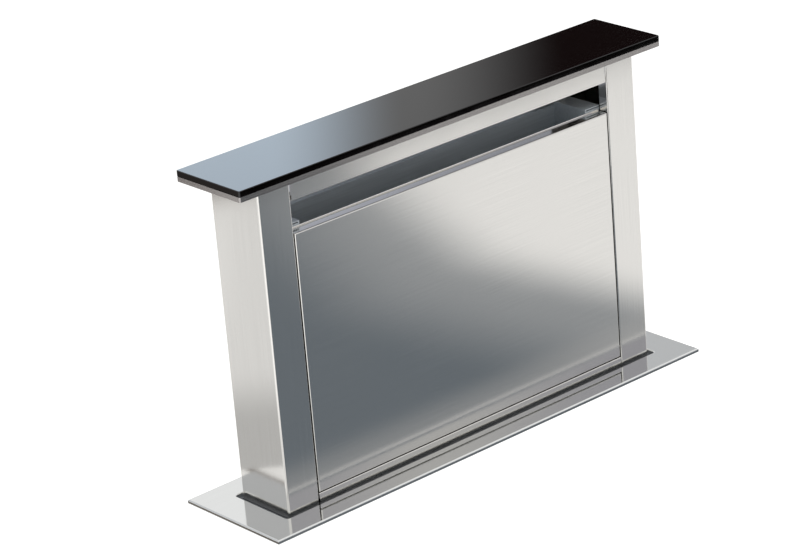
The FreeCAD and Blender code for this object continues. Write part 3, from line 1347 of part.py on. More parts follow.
def make_flap(label, side, knuckles):
    """A half-round flap with the knuckles that turn on the pin; side -1 is the front one."""
    radius = value("collar_radius - collar_wall - flap_gap")
    sheet, pin = value("flap_sheet"), value("flap_pin_radius")
    curl = pin + value("flap_curl")
    slit = value("flap_slit")
    up, along = FreeCAD.Vector(0, 0, 1), FreeCAD.Vector(1, 0, 0)
    disc = Part.makeCylinder(radius, sheet, FreeCAD.Vector(0, 0, -sheet / 2), up)
    half_start = curl + slit if side > 0 else -radius - curl - slit
    half = Part.makeBox(2 * radius, radius, sheet,
                        FreeCAD.Vector(-radius, half_start, -sheet / 2))
    tab_depth = curl + slit + sheet
    pieces = []
    for low, high in knuckles:
        barrel = Part.makeCylinder(curl, high - low, FreeCAD.Vector(low, 0, 0), along)
        tab = Part.makeBox(high - low, tab_depth, sheet,
                           FreeCAD.Vector(low, 0 if side > 0 else -tab_depth, -sheet / 2))
        pieces += [barrel, tab]
    flap = disc.common(half).multiFuse(pieces)
    bore = Part.makeCylinder(pin + value("bearing_clearance"), 2 * radius,
                             FreeCAD.Vector(-radius, 0, 0), along)
    feature(label, flap.cut(bore).removeSplitter(), 0, "collar_y", "flap_z")


# Electronics and small fittings -------------------------------------------------------------------

def make_control_box():
    """The electronics housing on the chassis' front, its cover and the cable gland below it."""
    low, high = "-control_drop - control_height", "-control_drop"
    left, right = "control_x - control_length / 2", "control_x + control_length / 2"
    wall = "control_wall"
    body = new_body("control_box")
    level = "chassis_depth / 2"
    pad(body, draw(new_sketch(body, "XZ", level=level), rectangle(left, low, right, high)),
        f"control_depth - {wall}")
    inside = rectangle(f"{left} + {wall}", f"{low} + {wall}", f"{right} - {wall}",
                       f"{high} - {wall}")
    pocket(body, draw(new_sketch(body, "XZ", level=f"{level} + {wall}"), inside),
           "control_depth", back=True)
    hole = new_sketch(body, "XY", level=low)
    gland_x, gland_y = f"{left} + gland_inset", "-(chassis_depth + control_depth) / 2"
    draw_circle(hole, gland_x, gland_y, "gland_radius - gland_step")
    pocket(body, hole, f"3 * {wall}", both=True)

    cover = new_body("control_box_cover")
    pad(cover, draw(new_sketch(cover, "XZ", level=f"{level} + control_depth - {wall}"),
                    rectangle(left, low, right, high)), wall)

    neck = "gland_radius - gland_step - joint_gap"
    gland = fuse("gland_body", [
        cylinder("gland_stem", (gland_x, gland_y, low), neck, f"{wall} + gland_neck"),
        cylinder("gland_collar", (gland_x, gland_y, f"{low} - gland_nut"),
                 "gland_radius + gland_nut_brim", "gland_nut"),
        cylinder("gland_dome", (gland_x, gland_y, f"{low} - gland_length"), "gland_radius",
                 "gland_length"),
    ])
    bore = cylinder("gland_hole", (gland_x, gland_y, f"{low} - gland_length - gland_neck"),
                    "gland_bore", "2 * (gland_length + gland_neck)")
    node(cut("cable_gland", gland, [bore]))


def make_switches_and_screws():
    """Limit switches on the chassis' back and the hexagon screws that hold its sheets."""
    switches = []
    for index, level in enumerate(("flag_z", "flag_z - travel")):
        depth = "(wall_face - tower_face - flag_reach - running_gap)"
        low = ("flag_x - switch_length / 2", f"wall_face - {depth}",
               f"{level} - switch_height / 2")
        switches.append(block(f"switch_{index}", low, ("switch_length", depth, "switch_height")))
    node(group("limit_switches", switches))
    screws = []
    rows, head = round(value("screw_rows")), "screw_head_height"
    for side_x in (LEFT, RIGHT):
        for side_y in (-1, 1):
            for index in range(rows):
                screw = document.addObject("Part::Prism", f"screw_{len(screws)}")
                bind(screw, "Circumradius", "screw_head_radius")
                bind(screw, "Height", head)
                screw.Placement.Rotation = FreeCAD.Rotation(FreeCAD.Vector(1, 0, 0), 90)
                start = "-wall_face - chassis_sheet" if side_y < 0 else (
                    f"wall_face + chassis_sheet + {head}")
                step = f"(-chassis_foot - 2 * screw_drop) / {rows - 1}"
                place(screw, f"{side_x} * (wall_end - screw_inset)", start,
                      f"-screw_drop - {index} * {step}")
                screws.append(screw)
    node(group("chassis_screws", screws))


def add_trip_flag(panel):
    """The small tab on the tower's back that trips the limit switches."""
    tab = new_sketch(panel, "XZ", level="-tower_face")
    half, height = "flag_width / 2", "flag_height / 2"
    draw(tab, rectangle(f"flag_x - {half}", f"flag_rise - {height}", f"flag_x + {half}",
                        f"flag_rise + {height}"))
    pad(panel, tab, "flag_reach", back=True)


# Export -----------------------------------------------------------------------------------------

def check_and_export():
    """Stops on a failed object or a bad shape, then writes each sub-part to its STEP file."""
    document.recompute()
    for item in document.Objects:
        if "Invalid" in item.State or "Error" in item.State:
            raise RuntimeError(f"{item.Label} failed: {item.State}")
    os.makedirs("parts", exist_ok=True)
    for item in NODES:
        shape = item.Shape
        if shape.isNull() or not shape.isValid() or not shape.Solids:
            raise RuntimeError(f"{item.Label} has no valid solid")
        shape.exportStep(f"parts/{item.Label}.step")
        box = shape.BoundBox
        print(f"{item.Label:24s} solids {len(shape.Solids)} faces {len(shape.Faces):4d} "
              f"x {box.XMin:8.2f} {box.XMax:8.2f} y {box.YMin:8.2f} {box.YMax:8.2f} "
              f"z {box.ZMin:8.2f} {box.ZMax:8.2f}")
    print(len(NODES), "sub-parts, travel", value("travel"), "mm")


def build():
    """Makes every sub-part."""
    make_worktop_flange()
    make_seals()
    make_lid()
    make_column("left_column", LEFT)
    make_column("right_column", RIGHT)
    make_rear_panel()
    make_front_fascia()
    make_front_panel()
    make_lower_front()
    make_duct_side("left_duct_side", LEFT)
    make_duct_side("right_duct_side", RIGHT)
    make_back_plate()
    make_filter("left", LEFT)
    make_filter("right", RIGHT)
    make_filter_holders()
    make_panel_fittings()
    make_control_board()
    make_lift()
    make_guides()
    make_chassis()
    make_brackets_and_stops()
    make_blower_box()
    make_scroll()
    make_transition()
    make_impeller()
    make_fan_motor()
    make_outlet()
    make_control_box()
    make_switches_and_screws()


build()
check_and_export()
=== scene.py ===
"""A downdraft vent raised out of a white worktop, in soft studio light.

Lengths are in metres, and in millimetres where a name ends in _mm. Places on the object are read
from the frame; only a filter pad's thickness and lean are given here, as the CAD source works them
out. The worktop, the floor, the cards and the lamps are the studio, and aren't part of the object;
the cards are glowing planes that only glossy rays see, and paint reflections into the object.
"""

import logging
import math
from dataclasses import dataclass, field
from enum import Enum

import bmesh
import bpy
from mathutils import Matrix, Vector


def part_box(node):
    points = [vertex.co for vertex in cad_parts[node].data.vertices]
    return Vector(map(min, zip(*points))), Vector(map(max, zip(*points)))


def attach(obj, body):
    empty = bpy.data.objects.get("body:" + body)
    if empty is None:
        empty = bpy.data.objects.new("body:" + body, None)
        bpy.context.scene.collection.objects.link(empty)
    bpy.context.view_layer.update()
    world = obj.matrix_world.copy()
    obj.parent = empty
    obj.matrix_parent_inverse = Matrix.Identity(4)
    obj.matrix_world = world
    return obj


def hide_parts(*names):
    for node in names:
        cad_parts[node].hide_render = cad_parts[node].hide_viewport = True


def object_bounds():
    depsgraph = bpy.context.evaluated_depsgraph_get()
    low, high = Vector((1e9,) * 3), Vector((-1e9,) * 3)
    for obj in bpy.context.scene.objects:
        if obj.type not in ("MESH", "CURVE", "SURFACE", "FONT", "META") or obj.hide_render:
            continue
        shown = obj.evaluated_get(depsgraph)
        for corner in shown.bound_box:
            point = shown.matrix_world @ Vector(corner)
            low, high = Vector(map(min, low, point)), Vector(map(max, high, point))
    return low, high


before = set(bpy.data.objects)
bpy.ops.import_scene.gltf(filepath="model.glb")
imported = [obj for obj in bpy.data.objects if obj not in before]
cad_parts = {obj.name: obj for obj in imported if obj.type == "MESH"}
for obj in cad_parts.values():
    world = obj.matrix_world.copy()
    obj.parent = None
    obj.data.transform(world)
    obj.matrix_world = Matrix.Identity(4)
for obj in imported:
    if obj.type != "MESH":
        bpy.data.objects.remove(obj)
CAD_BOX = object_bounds()

LOG = logging.getLogger("downdraft_vent")
MM = 0.001
UP = Vector((0, 0, 1))
WHITE = (1.0, 1.0, 1.0, 1.0)
NOISE_LOW, NOISE_HIGH = 0.3, 0.7  # most of a noise texture's values lie between these
BEVEL_SAMPLES = 6


class Axis(Enum):
    """The axes, each with its place in a point."""

    X = 0
    Y = 1
    Z = 2


def linear(hex_colour: str, alpha: float = 1.0) -> tuple[float, float, float, float]:
    """Turns an sRGB hex colour into a linear one.

    Args:
        hex_colour: Six hex digits, such as "B8B8B4".
        alpha: The colour's opacity.

    Returns:
        Red, green, blue and alpha, each from 0 to 1.
    """
    parts = [int(hex_colour[start:start + 2], 16) / 255 for start in (0, 2, 4)]
    red, green, blue = (
        part / 12.92 if part <= 0.04045 else ((part + 0.055) / 1.055) ** 2.4 for part in parts)
    return red, green, blue, alpha


def add(tree: bpy.types.NodeTree, kind: str, inputs: dict | None = None,
        **settings: object) -> bpy.types.Node:
    """Adds a node with its settings, its values and its links.

    Args:
        tree: The node tree that gets the node.
        kind: The node's type, such as "ShaderNodeTexNoise".
        inputs: Input name or number to a plain value, or to the output socket that feeds it.
        **settings: The node's own properties.

    Returns:
        The new node.
    """
    node = tree.nodes.new(kind)
    for name, setting in settings.items():
        setattr(node, name, setting)
    for name, source in (inputs or {}).items():
        if isinstance(source, bpy.types.NodeSocket):
            tree.links.new(source, node.inputs[name])
        else:
            node.inputs[name].default_value = source
    return node


def blank_material(name: str) -> tuple[bpy.types.Material, bpy.types.NodeTree]:
    """Makes a material whose node tree is still empty.

    Args:
        name: The material's name.

    Returns:
        The material and its node tree.
    """
    material = bpy.data.materials.new(name)
    material.use_nodes = True
    material.node_tree.nodes.clear()
    return material, material.node_tree


# Finishes -----------------------------------------------------------------------------------


@dataclass(frozen=True)
class Finish:
    """What a surface is made of and how it was made."""

    name: str
    colour: str
    roughness: float = 0.5
    metallic: float = 0.0
    edge_mm: float = 0.0

    def material(self) -> bpy.types.Material:
        """Builds the finish as a material.

        Returns:
            The material, with its pattern on Object coordinates.
        """
        material, tree = blank_material(self.name)
        shader = add(tree, "ShaderNodeBsdfPrincipled", {
            "Base Color": linear(self.colour), "Roughness": self.roughness,
            "Metallic": self.metallic})
        add(tree, "ShaderNodeOutputMaterial", {"Surface": shader.outputs["BSDF"]})
        place = add(tree, "ShaderNodeTexCoord").outputs["Object"]
        self.pattern(tree, place, shader)
        return material

    def pattern(self, tree: bpy.types.NodeTree, place: bpy.types.NodeSocket,
                shader: bpy.types.Node) -> None:
        """Adds the surface's own detail; a finish without detail adds none.

        Args:
            tree: The material's node tree.
            place: The Object coordinates.
            shader: The Principled node.
        """

    def noise(self, tree: bpy.types.NodeTree, place: bpy.types.NodeSocket,
              sizes_mm: tuple[float, float, float], detail: float = 2.0) -> bpy.types.NodeSocket:
        """Adds noise whose grains have real sizes along X, Y and Z.

        Args:
            tree: The material's node tree.
            place: The Object coordinates.
            sizes_mm: Length of a grain along each axis.
            detail: Octaves of finer noise.

        Returns:
            The noise's value socket.
        """
        scale = [1 / (size * MM) for size in sizes_mm]
        mapped = add(tree, "ShaderNodeMapping", {"Vector": place, "Scale": scale})
        grain = add(tree, "ShaderNodeTexNoise", {
            "Vector": mapped.outputs["Vector"], "Scale": 1.0, "Detail": detail})
        return grain.outputs["Fac"]

    def between(self, tree: bpy.types.NodeTree, factor: bpy.types.NodeSocket, low: float,
                high: float) -> bpy.types.NodeSocket:
        """Spreads a noise value over a range.

        Args:
            tree: The material's node tree.
            factor: The value to spread, mostly between NOISE_LOW and NOISE_HIGH.
            low: What NOISE_LOW becomes.
            high: What NOISE_HIGH becomes.

        Returns:
            The new value's socket.
        """
        spread = add(tree, "ShaderNodeMapRange", {
            "Value": factor, "From Min": NOISE_LOW, "From Max": NOISE_HIGH,
            "To Min": low, "To Max": high})
        return spread.outputs["Result"]

    def tint(self, tree: bpy.types.NodeTree, factor: bpy.types.NodeSocket, first: str,
             second: str) -> bpy.types.NodeSocket:
        """Mixes two colours by a value.

        Args:
            tree: The material's node tree.
            factor: The value that mixes them.
            first: The colour at a low value.
            second: The colour at a high value.

        Returns:
            The colour's socket.
        """
        ramp = add(tree, "ShaderNodeValToRGB", {"Fac": factor})
        stops = ((NOISE_LOW, first), (NOISE_HIGH, second))
        for element, (position, colour) in zip(ramp.color_ramp.elements, stops):
            element.position, element.color = position, linear(colour)
        return ramp.outputs["Color"]

    def bump(self, tree: bpy.types.NodeTree, shader: bpy.types.Node,
             height: bpy.types.NodeSocket, depth_mm: float) -> None:
        """Roughens the surface, and rounds its edges where the finish has an edge radius.

        Args:
            tree: The material's node tree.
            shader: The Principled node.
            height: The relief, from 0 to 1.
            depth_mm: The relief's real depth.
        """
        relief = add(tree, "ShaderNodeBump", {
            "Height": height, "Distance": depth_mm * MM, "Strength": 1.0})
        if self.edge_mm:
            rounded = add(tree, "ShaderNodeBevel", {"Radius": self.edge_mm * MM},
                          samples=BEVEL_SAMPLES)
            tree.links.new(rounded.outputs["Normal"], relief.inputs["Normal"])
        tree.links.new(relief.outputs["Normal"], shader.inputs["Normal"])


@dataclass(frozen=True)
class BrushedStainless(Finish):
    """Stainless sheet brushed with a fine belt: soft reflections with faint lines one way."""

    shade: str = "DCDAD6"
    along: Axis = Axis.X
    line_mm: float = 0.5
    stroke_mm: float = 120.0
    relief_mm: float = 0.0008
    patch_mm: tuple[float, float, float] = (90.0, 90.0, 60.0)
    line_spread: float = 0.06
    patch_spread: float = 0.1

    def pattern(self, tree: bpy.types.NodeTree, place: bpy.types.NodeSocket,
                shader: bpy.types.Node) -> None:
        """Adds the belt's lines, and larger soft patches where hands and cloths have passed.

        Args:
            tree: The material's node tree.
            place: The Object coordinates.
            shader: The Principled node.
        """
        # a belt line is about 0.1 mm wide; it is drawn coarser, so that it shows
        sizes = [self.line_mm] * 3
        sizes[self.along.value] = self.stroke_mm
        lines = self.noise(tree, place, tuple(sizes), detail=3.0)
        patches = self.noise(tree, place, self.patch_mm)
        tree.links.new(self.tint(tree, lines, self.shade, self.colour),
                       shader.inputs["Base Color"])
        both = add(tree, "ShaderNodeMath", {
            0: self.between(tree, lines, 1 - self.line_spread, 1 + self.line_spread),
            1: self.between(tree, patches, 1 - self.patch_spread, 1 + self.patch_spread)},
            operation="MULTIPLY")
        rough = add(tree, "ShaderNodeMath", {0: both.outputs["Value"], 1: self.roughness},
                    operation="MULTIPLY")
        tree.links.new(rough.outputs["Value"], shader.inputs["Roughness"])
        self.bump(tree, shader, lines, self.relief_mm)


@dataclass(frozen=True)
class ToughenedGlass(Finish):
    """Black toughened glass: a deep gloss that mirrors the room, very slightly wavy."""

    ior: float = 1.52
    wave_mm: tuple[float, float, float] = (70.0, 50.0, 50.0)
    wave_depth_mm: float = 0.01
    fingermark_mm: tuple[float, float, float] = (25.0, 18.0, 18.0)
    smear: float = 1.8

    def pattern(self, tree: bpy.types.NodeTree, place: bpy.types.NodeSocket,
                shader: bpy.types.Node) -> None:
        """Adds the faint waves that toughening leaves and a trace of fingermarks.

        Args:
            tree: The material's node tree.
            place: The Object coordinates.
            shader: The Principled node.
        """
        shader.inputs["IOR"].default_value = self.ior
        waves = self.noise(tree, place, self.wave_mm, detail=0.0)
        marks = self.noise(tree, place, self.fingermark_mm)
        tree.links.new(self.between(tree, marks, self.roughness, self.roughness * self.smear),
                       shader.inputs["Roughness"])
        self.bump(tree, shader, waves, self.wave_depth_mm)


@dataclass(frozen=True)
class GalvanisedSheet(Finish):
    """Hot-dip zinc on steel sheet: pale grey crystals some millimetres across."""

    shade: str = "B0B5B8"
    crystal_mm: float = 5.0
    sheen_spread: float = 0.1
    ripple_mm: float = 14.0
    ripple_depth_mm: float = 0.02

    def pattern(self, tree: bpy.types.NodeTree, place: bpy.types.NodeSocket,
                shader: bpy.types.Node) -> None:
        """Adds the zinc's crystals, each with a shade and a sheen of its own.

        Args:
            tree: The material's node tree.
            place: The Object coordinates.
            shader: The Principled node.
        """
        crystals = add(tree, "ShaderNodeTexVoronoi", {
            "Vector": place, "Scale": 1 / (self.crystal_mm * MM)})
        split = add(tree, "ShaderNodeSeparateColor", {"Color": crystals.outputs["Color"]})
        tree.links.new(self.tint(tree, split.outputs["Red"], self.shade, self.colour),
                       shader.inputs["Base Color"])
        sheen = self.between(tree, split.outputs["Green"],
                             self.roughness * (1 - self.sheen_spread),
                             self.roughness * (1 + self.sheen_spread))
        tree.links.new(sheen, shader.inputs["Roughness"])
        ripples = self.noise(tree, place, (self.ripple_mm,) * 3)
        self.bump(tree, shader, ripples, self.ripple_depth_mm)


@dataclass(frozen=True)
class GroundMetal(Finish):
    """Turned, ground or extruded metal: an even sheen with fine tool marks across its length."""

    shade: str = "8E8E90"
    mark_mm: tuple[float, float, float] = (0.8, 40.0, 40.0)
    mark_depth_mm: float = 0.004
    sheen: tuple[float, float] = (0.85, 1.2)

    def pattern(self, tree: bpy.types.NodeTree, place: bpy.types.NodeSocket,
                shader: bpy.types.Node) -> None:
        """Adds the tool's marks.

        Args:
            tree: The material's node tree.
            place: The Object coordinates.
            shader: The Principled node.
        """
        marks = self.noise(tree, place, self.mark_mm)
        tree.links.new(self.tint(tree, marks, self.shade, self.colour),
                       shader.inputs["Base Color"])
        least, most = (self.roughness * share for share in self.sheen)
        tree.links.new(self.between(tree, marks, least, most), shader.inputs["Roughness"])
        self.bump(tree, shader, marks, self.mark_depth_mm)


@dataclass(frozen=True)
class MouldedPolymer(Finish):
    """Injection-moulded plastic, cast paint or rubber: a fine grain and faint clouds."""

    shade: str = "101012"
    grain_mm: float = 0.9
    relief_mm: float = 0.03
    cloud_mm: float = 35.0
    sheen_spread: float = 0.1

    def pattern(self, tree: bpy.types.NodeTree, place: bpy.types.NodeSocket,
                shader: bpy.types.Node) -> None:
        """Adds the mould's grain and faint clouds of colour.

        Args:
            tree: The material's node tree.
            place: The Object coordinates.
            shader: The Principled node.
        """
        # moulded grain is about 0.2 mm; it is drawn coarser, so that it shows
        grain = self.noise(tree, place, (self.grain_mm,) * 3, detail=3.0)
        clouds = self.noise(tree, place, (self.cloud_mm,) * 3)
        tree.links.new(self.tint(tree, clouds, self.shade, self.colour),
                       shader.inputs["Base Color"])
        sheen = self.between(tree, grain, self.roughness * (1 - self.sheen_spread),
                             self.roughness * (1 + self.sheen_spread))
        tree.links.new(sheen, shader.inputs["Roughness"])
        self.bump(tree, shader, grain, self.relief_mm)


PANEL_STEEL = BrushedStainless("satin_stainless_across", "E3E1DD", 0.13, 1.0)
COLUMN_STEEL = BrushedStainless("satin_stainless_upright", "E3E1DD", 0.13, 1.0, along=Axis.Z)
TRIM_STEEL = BrushedStainless("polished_stainless_trim", "E0E1E0", 0.09, 1.0, 0.9,
                              shade="DCDDDC", stroke_mm=220.0, relief_mm=0.0004)
TRAY_STEEL = BrushedStainless("satin_stainless_tray", "B4B0AE", 0.2, 1.0, shade="ACA8A6")
INNER_STEEL = GroundMetal("mill_finish_steel", "C8D0D6", 0.38, 0.3, shade="BEC6CC",
                          mark_mm=(60.0, 2.0, 2.0))
LID_GLASS = ToughenedGlass("black_toughened_glass", "060505", 0.025)
ZINC = GalvanisedSheet("galvanised_sheet", "BCC1C4", 0.4, 0.85, 0.4)
BRIGHT_ALUMINIUM = GroundMetal("rolled_aluminium", "D0D2D4", 0.24, 1.0, 0.3, shade="BEC1C4",
                               mark_mm=(30.0, 0.9, 0.9))
ANODISED_ALUMINIUM = GroundMetal("anodised_extrusion", "B9BBBE", 0.34, 1.0, 0.2, shade="AEB1B4",
                                 mark_mm=(0.9, 0.9, 80.0))
GROUND_STEEL = GroundMetal("ground_steel", "9B9B9D", 0.28, 1.0, 0.15)
SINTERED_BRONZE = GroundMetal("sintered_bronze", "A5824E", 0.42, 1.0, 0.1, shade="8E6E40",
                              mark_mm=(1.2, 1.2, 1.2))
BLACK_NYLON = MouldedPolymer("black_moulded_nylon", "1A1A1C", 0.45)
GREY_ABS = MouldedPolymer("grey_moulded_abs", "6E7174", 0.5, shade="66696C")
WHITE_ACETAL = MouldedPolymer("white_moulded_acetal", "E4E4DE", 0.35, shade="DADAD2")
BLACK_ENAMEL = MouldedPolymer("black_sprayed_enamel", "161618", 0.3, shade="111113",
                              grain_mm=1.4, relief_mm=0.02)
SOLDER_MASK = MouldedPolymer("green_solder_mask", "14522C", 0.3, shade="0F4524")
BUFFER_RUBBER = MouldedPolymer("black_moulded_rubber", "131313", 0.7, shade="0D0D0D")
SEAL_RUBBER = MouldedPolymer("grey_extruded_rubber", "585C62", 0.5, shade="50545A")
GASKET_FOAM = MouldedPolymer("closed_cell_foam", "242425", 0.85, shade="1A1A1B", grain_mm=1.6,
                             relief_mm=0.2)


# Mesh helpers -------------------------------------------------------------------------------


def new_piece(name: str, mesh: bmesh.types.BMesh,
              finish: Finish | None) -> bpy.types.Object:
    """Turns a bmesh into an object at the origin.

    Args:
        name: The piece's name.
        mesh: The finished bmesh, which is freed.
        finish: The piece's finish, or None where the caller adds a material.

    Returns:
        The new object.
    """
    data = bpy.data.meshes.new(name)
    mesh.to_mesh(data)
    mesh.free()
    piece = bpy.data.objects.new(name, data)
    bpy.context.scene.collection.objects.link(piece)
    if finish:
        data.materials.append(Wardrobe.material(finish))
    return piece


class Wardrobe:
    """The finishes' materials, each built once."""

    built: dict[str, bpy.types.Material] = {}

    @classmethod
    def material(cls, finish: Finish) -> bpy.types.Material:
        """Builds a finish's material, or gives the one that is already built.

        Args:
            finish: The finish.

        Returns:
            Its material.
        """
        if finish.name not in cls.built:
            cls.built[finish.name] = finish.material()
        return cls.built[finish.name]

    @classmethod
    def dress(cls, nodes: dict[str, Finish]) -> None:
        """Puts finishes on nodes of the frame.

        Args:
            nodes: Node name to its finish.
        """
        for name, finish in nodes.items():
            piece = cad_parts[name]
            piece.data.materials.clear()
            piece.data.materials.append(cls.material(finish))
            LOG.info("%s is %s", name, finish.name)


# The object's sub-assemblies ----------------------------------------------------------------


@dataclass
class Trim:
    """The trim plate on the worktop, its gasket and the wiper seal in the slot."""

    finishes: dict[str, Finish] = field(default_factory=lambda: {
        "worktop_flange": TRIM_STEEL, "worktop_gasket": GASKET_FOAM, "slot_seal": SEAL_RUBBER})

    def build(self) -> None:
        """Dresses the trim."""
        Wardrobe.dress(self.finishes)


@dataclass
class Tower:
    """The rising tower: lid, casings, throat and the front panel's fittings."""

    finishes: dict[str, Finish] = field(default_factory=lambda: {
        "lid_glass": LID_GLASS, "lid_tray": TRAY_STEEL, "left_column": COLUMN_STEEL,
        "right_column": COLUMN_STEEL, "rear_panel": PANEL_STEEL, "front_fascia": PANEL_STEEL,
        "front_panel": PANEL_STEEL, "lower_front": PANEL_STEEL, "left_duct_side": INNER_STEEL,
        "right_duct_side": INNER_STEEL, "throat_back_plate": INNER_STEEL,
        "filter_ledge": INNER_STEEL, "filter_channel": INNER_STEEL,
        "panel_pivot_pins": GROUND_STEEL, "panel_catches": GROUND_STEEL,
        "control_board": SOLDER_MASK})
    screw_rows: int = 5
    screw_inset_mm: float = 9.0
    screw_margin_mm: float = 30.0

    def build(self) -> None:
        """Dresses the tower and adds the screws that hold its back to the columns."""
        Wardrobe.dress(self.finishes)
        low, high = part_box("rear_panel")
        inset, margin = self.screw_inset_mm * MM, self.screw_margin_mm * MM
        pitch = (high.z - 2 * margin) / (self.screw_rows - 1)
        heights = [margin + index * pitch for index in range(self.screw_rows)]
        skin_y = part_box("left_column")[1].y
        for side, word in ((low.x + inset, "left"), (high.x - inset, "right")):
            for index, height in enumerate(heights):
                screw = PanScrew(f"rear_screw_{word}_{index}")
                screw.build(Vector((side, skin_y, height)), Vector((0, 1, 0)), "tower")


@dataclass
class PanScrew:
    """A low pan-head screw with a cross recess."""

    name: str
    radius_mm: float = 3.2
    height_mm: float = 1.4
    recess_mm: float = 1.1
    top_share: float = 0.72
    recess_share: float = 0.5
    sides: int = 16

    def build(self, seat: Vector, outward: Vector, body: str) -> None:
        """Builds the screw's head on its seat.

        Args:
            seat: The middle of the head's underside.
            outward: The way the head stands out.
            body: The body it moves with.
        """
        mesh = bmesh.new()
        radius, height = self.radius_mm * MM, self.height_mm * MM
        made = bmesh.ops.create_cone(mesh, cap_ends=True, segments=self.sides, radius1=radius,
                                     radius2=radius * self.top_share, depth=height)
        bmesh.ops.translate(mesh, verts=made["verts"], vec=(0, 0, height / 2))
        top = max(mesh.faces, key=lambda face: face.calc_center_median().z)
        bmesh.ops.inset_region(mesh, faces=[top], thickness=self.recess_mm * MM)
        bmesh.ops.translate(mesh, verts=top.verts, vec=(0, 0, -self.recess_share * height))
        turn = UP.rotation_difference(outward).to_matrix().to_4x4()
        bmesh.ops.transform(mesh, matrix=Matrix.Translation(seat) @ turn, verts=mesh.verts)
        head = new_piece(self.name, mesh, GROUND_STEEL)
        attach(head, body)


@dataclass
class GreaseFilter:
    """A filter cassette: the folded frame stays, and its pad becomes layers of expanded mesh."""

    side: str
    diamond_mm: tuple[float, float] = (9.0, 5.5)
    strand_mm: float = 0.9
    pad_mm: float = 6.0
    lean_degrees: float = 9.0
    layers: int = 3
    overhang: float = 1.5

    def build(self) -> None:
        """Dresses the frame and builds the mesh layers in the pad's place."""
        Wardrobe.dress({f"{self.side}_filter_frame": BRIGHT_ALUMINIUM,
                        f"{self.side}_filter_mesh": BRIGHT_ALUMINIUM})
        low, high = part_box(f"{self.side}_filter_mesh")
        lean = math.radians(self.lean_degrees)
        thickness = self.pad_mm * MM
        length = (high.z - low.z - thickness * math.sin(lean)) / math.cos(lean)
        middle = (low + high) / 2
        upright = Matrix.Translation(middle) @ Matrix.Rotation(-lean, 4, "X")
        for layer in range(self.layers):
            depth = (layer / (self.layers - 1) - 0.5) * (thickness - 2 * self.strand_mm * MM)
            piece = self.layer_mesh(layer, high.x - low.x, length, depth, upright)
            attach(piece, f"{self.side}_filter")
            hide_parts(f"{self.side}_filter_mesh")

    def layer_mesh(self, layer: int, width: float, length: float, depth: float,
                   place: Matrix) -> bpy.types.Object:
        """Builds one sheet of expanded mesh: a lattice of diamonds, cut to the frame.

        Args:
            layer: The sheet's number, which shifts its diamonds.
            width: The sheet's width.
            length: The sheet's length along the lean.
            depth: The sheet's place across the pad.
            place: Where the pad's middle is, and its lean.

        Returns:
            The sheet.
        """
        across, up = (size * MM for size in self.diamond_mm)
        count = int(self.overhang * max(width / across, length / up))
        mesh = bmesh.new()
        bmesh.ops.create_grid(mesh, x_segments=count, y_segments=count, size=count / 2)
        on_its_corner = Matrix.Rotation(math.radians(45), 4, "Z")
        stretch = Matrix.Diagonal((across / math.sqrt(2), up / math.sqrt(2), 1, 1))
        shift = Matrix.Translation((layer * across / self.layers, layer * up / self.layers, 0))
        bmesh.ops.transform(mesh, matrix=shift @ stretch @ on_its_corner, verts=mesh.verts)
        margin = self.strand_mm * MM / 2
        for normal, half in (((1, 0, 0), width / 2), ((-1, 0, 0), width / 2),
                             ((0, 1, 0), length / 2), ((0, -1, 0), length / 2)):
            everything = mesh.verts[:] + mesh.edges[:] + mesh.faces[:]
            bmesh.ops.bisect_plane(mesh, geom=everything, clear_outer=True, plane_no=normal,
                                   plane_co=Vector(normal) * (half - margin))
        standing = Matrix.Translation((0, depth, 0)) @ Matrix.Rotation(math.radians(90), 4, "X")
        bmesh.ops.transform(mesh, matrix=place @ standing, verts=mesh.verts)
        piece = new_piece(f"{self.side}_mesh_sheet_{layer}", mesh, BRIGHT_ALUMINIUM)
        wire = piece.modifiers.new("strands", "WIREFRAME")
        wire.thickness = self.strand_mm * MM
        wire.use_even_offset = False
        return piece


@dataclass
class Lift:
    """The rack and pinion lift, its motor, its beam and the guides."""

    finishes: dict[str, Finish] = field(default_factory=lambda: {
        "left_rack": GROUND_STEEL, "right_rack": GROUND_STEEL, "left_pinion": GROUND_STEEL,
        "right_pinion": GROUND_STEEL, "lift_shaft": GROUND_STEEL, "shaft_gear": WHITE_ACETAL,
        "motor_gear": SINTERED_BRONZE, "shaft_bearings": SINTERED_BRONZE, "lift_beam": ZINC,
        "lift_gearbox": GROUND_STEEL, "lift_motor": BLACK_ENAMEL,
        "left_guide_rail": ANODISED_ALUMINIUM, "right_guide_rail": ANODISED_ALUMINIUM,
        "guide_shoes": WHITE_ACETAL})

    def build(self) -> None:
        """Dresses the lift."""
        Wardrobe.dress(self.finishes)


@dataclass
class Chassis:
    """The sheet box under the worktop, its brackets, stops, switches and control box."""

    finishes: dict[str, Finish] = field(default_factory=lambda: {
        "chassis_left": ZINC, "chassis_right": ZINC, "chassis_front": ZINC,
        "chassis_back": ZINC, "chassis_bottom": ZINC, "worktop_brackets": ZINC,
        "buffer_stops": BUFFER_RUBBER, "chassis_screws": GROUND_STEEL,
        "limit_switches": BLACK_NYLON, "control_box": BLACK_NYLON,
        "control_box_cover": BLACK_NYLON, "cable_gland": BLACK_NYLON})
    cover_inset_mm: float = 7.0

    def build(self) -> None:
        """Dresses the chassis and adds the cover's screws."""
        Wardrobe.dress(self.finishes)
        low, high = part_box("control_box_cover")
        inset = self.cover_inset_mm * MM
        corners = [(x, z) for x in (low.x + inset, high.x - inset)
                   for z in (low.z + inset, high.z - inset)]
        for index, (x, z) in enumerate(corners):
            screw = PanScrew(f"cover_screw_{index}", radius_mm=2.8)
            screw.build(Vector((x, low.y, z)), Vector((0, -1, 0)), "chassis")


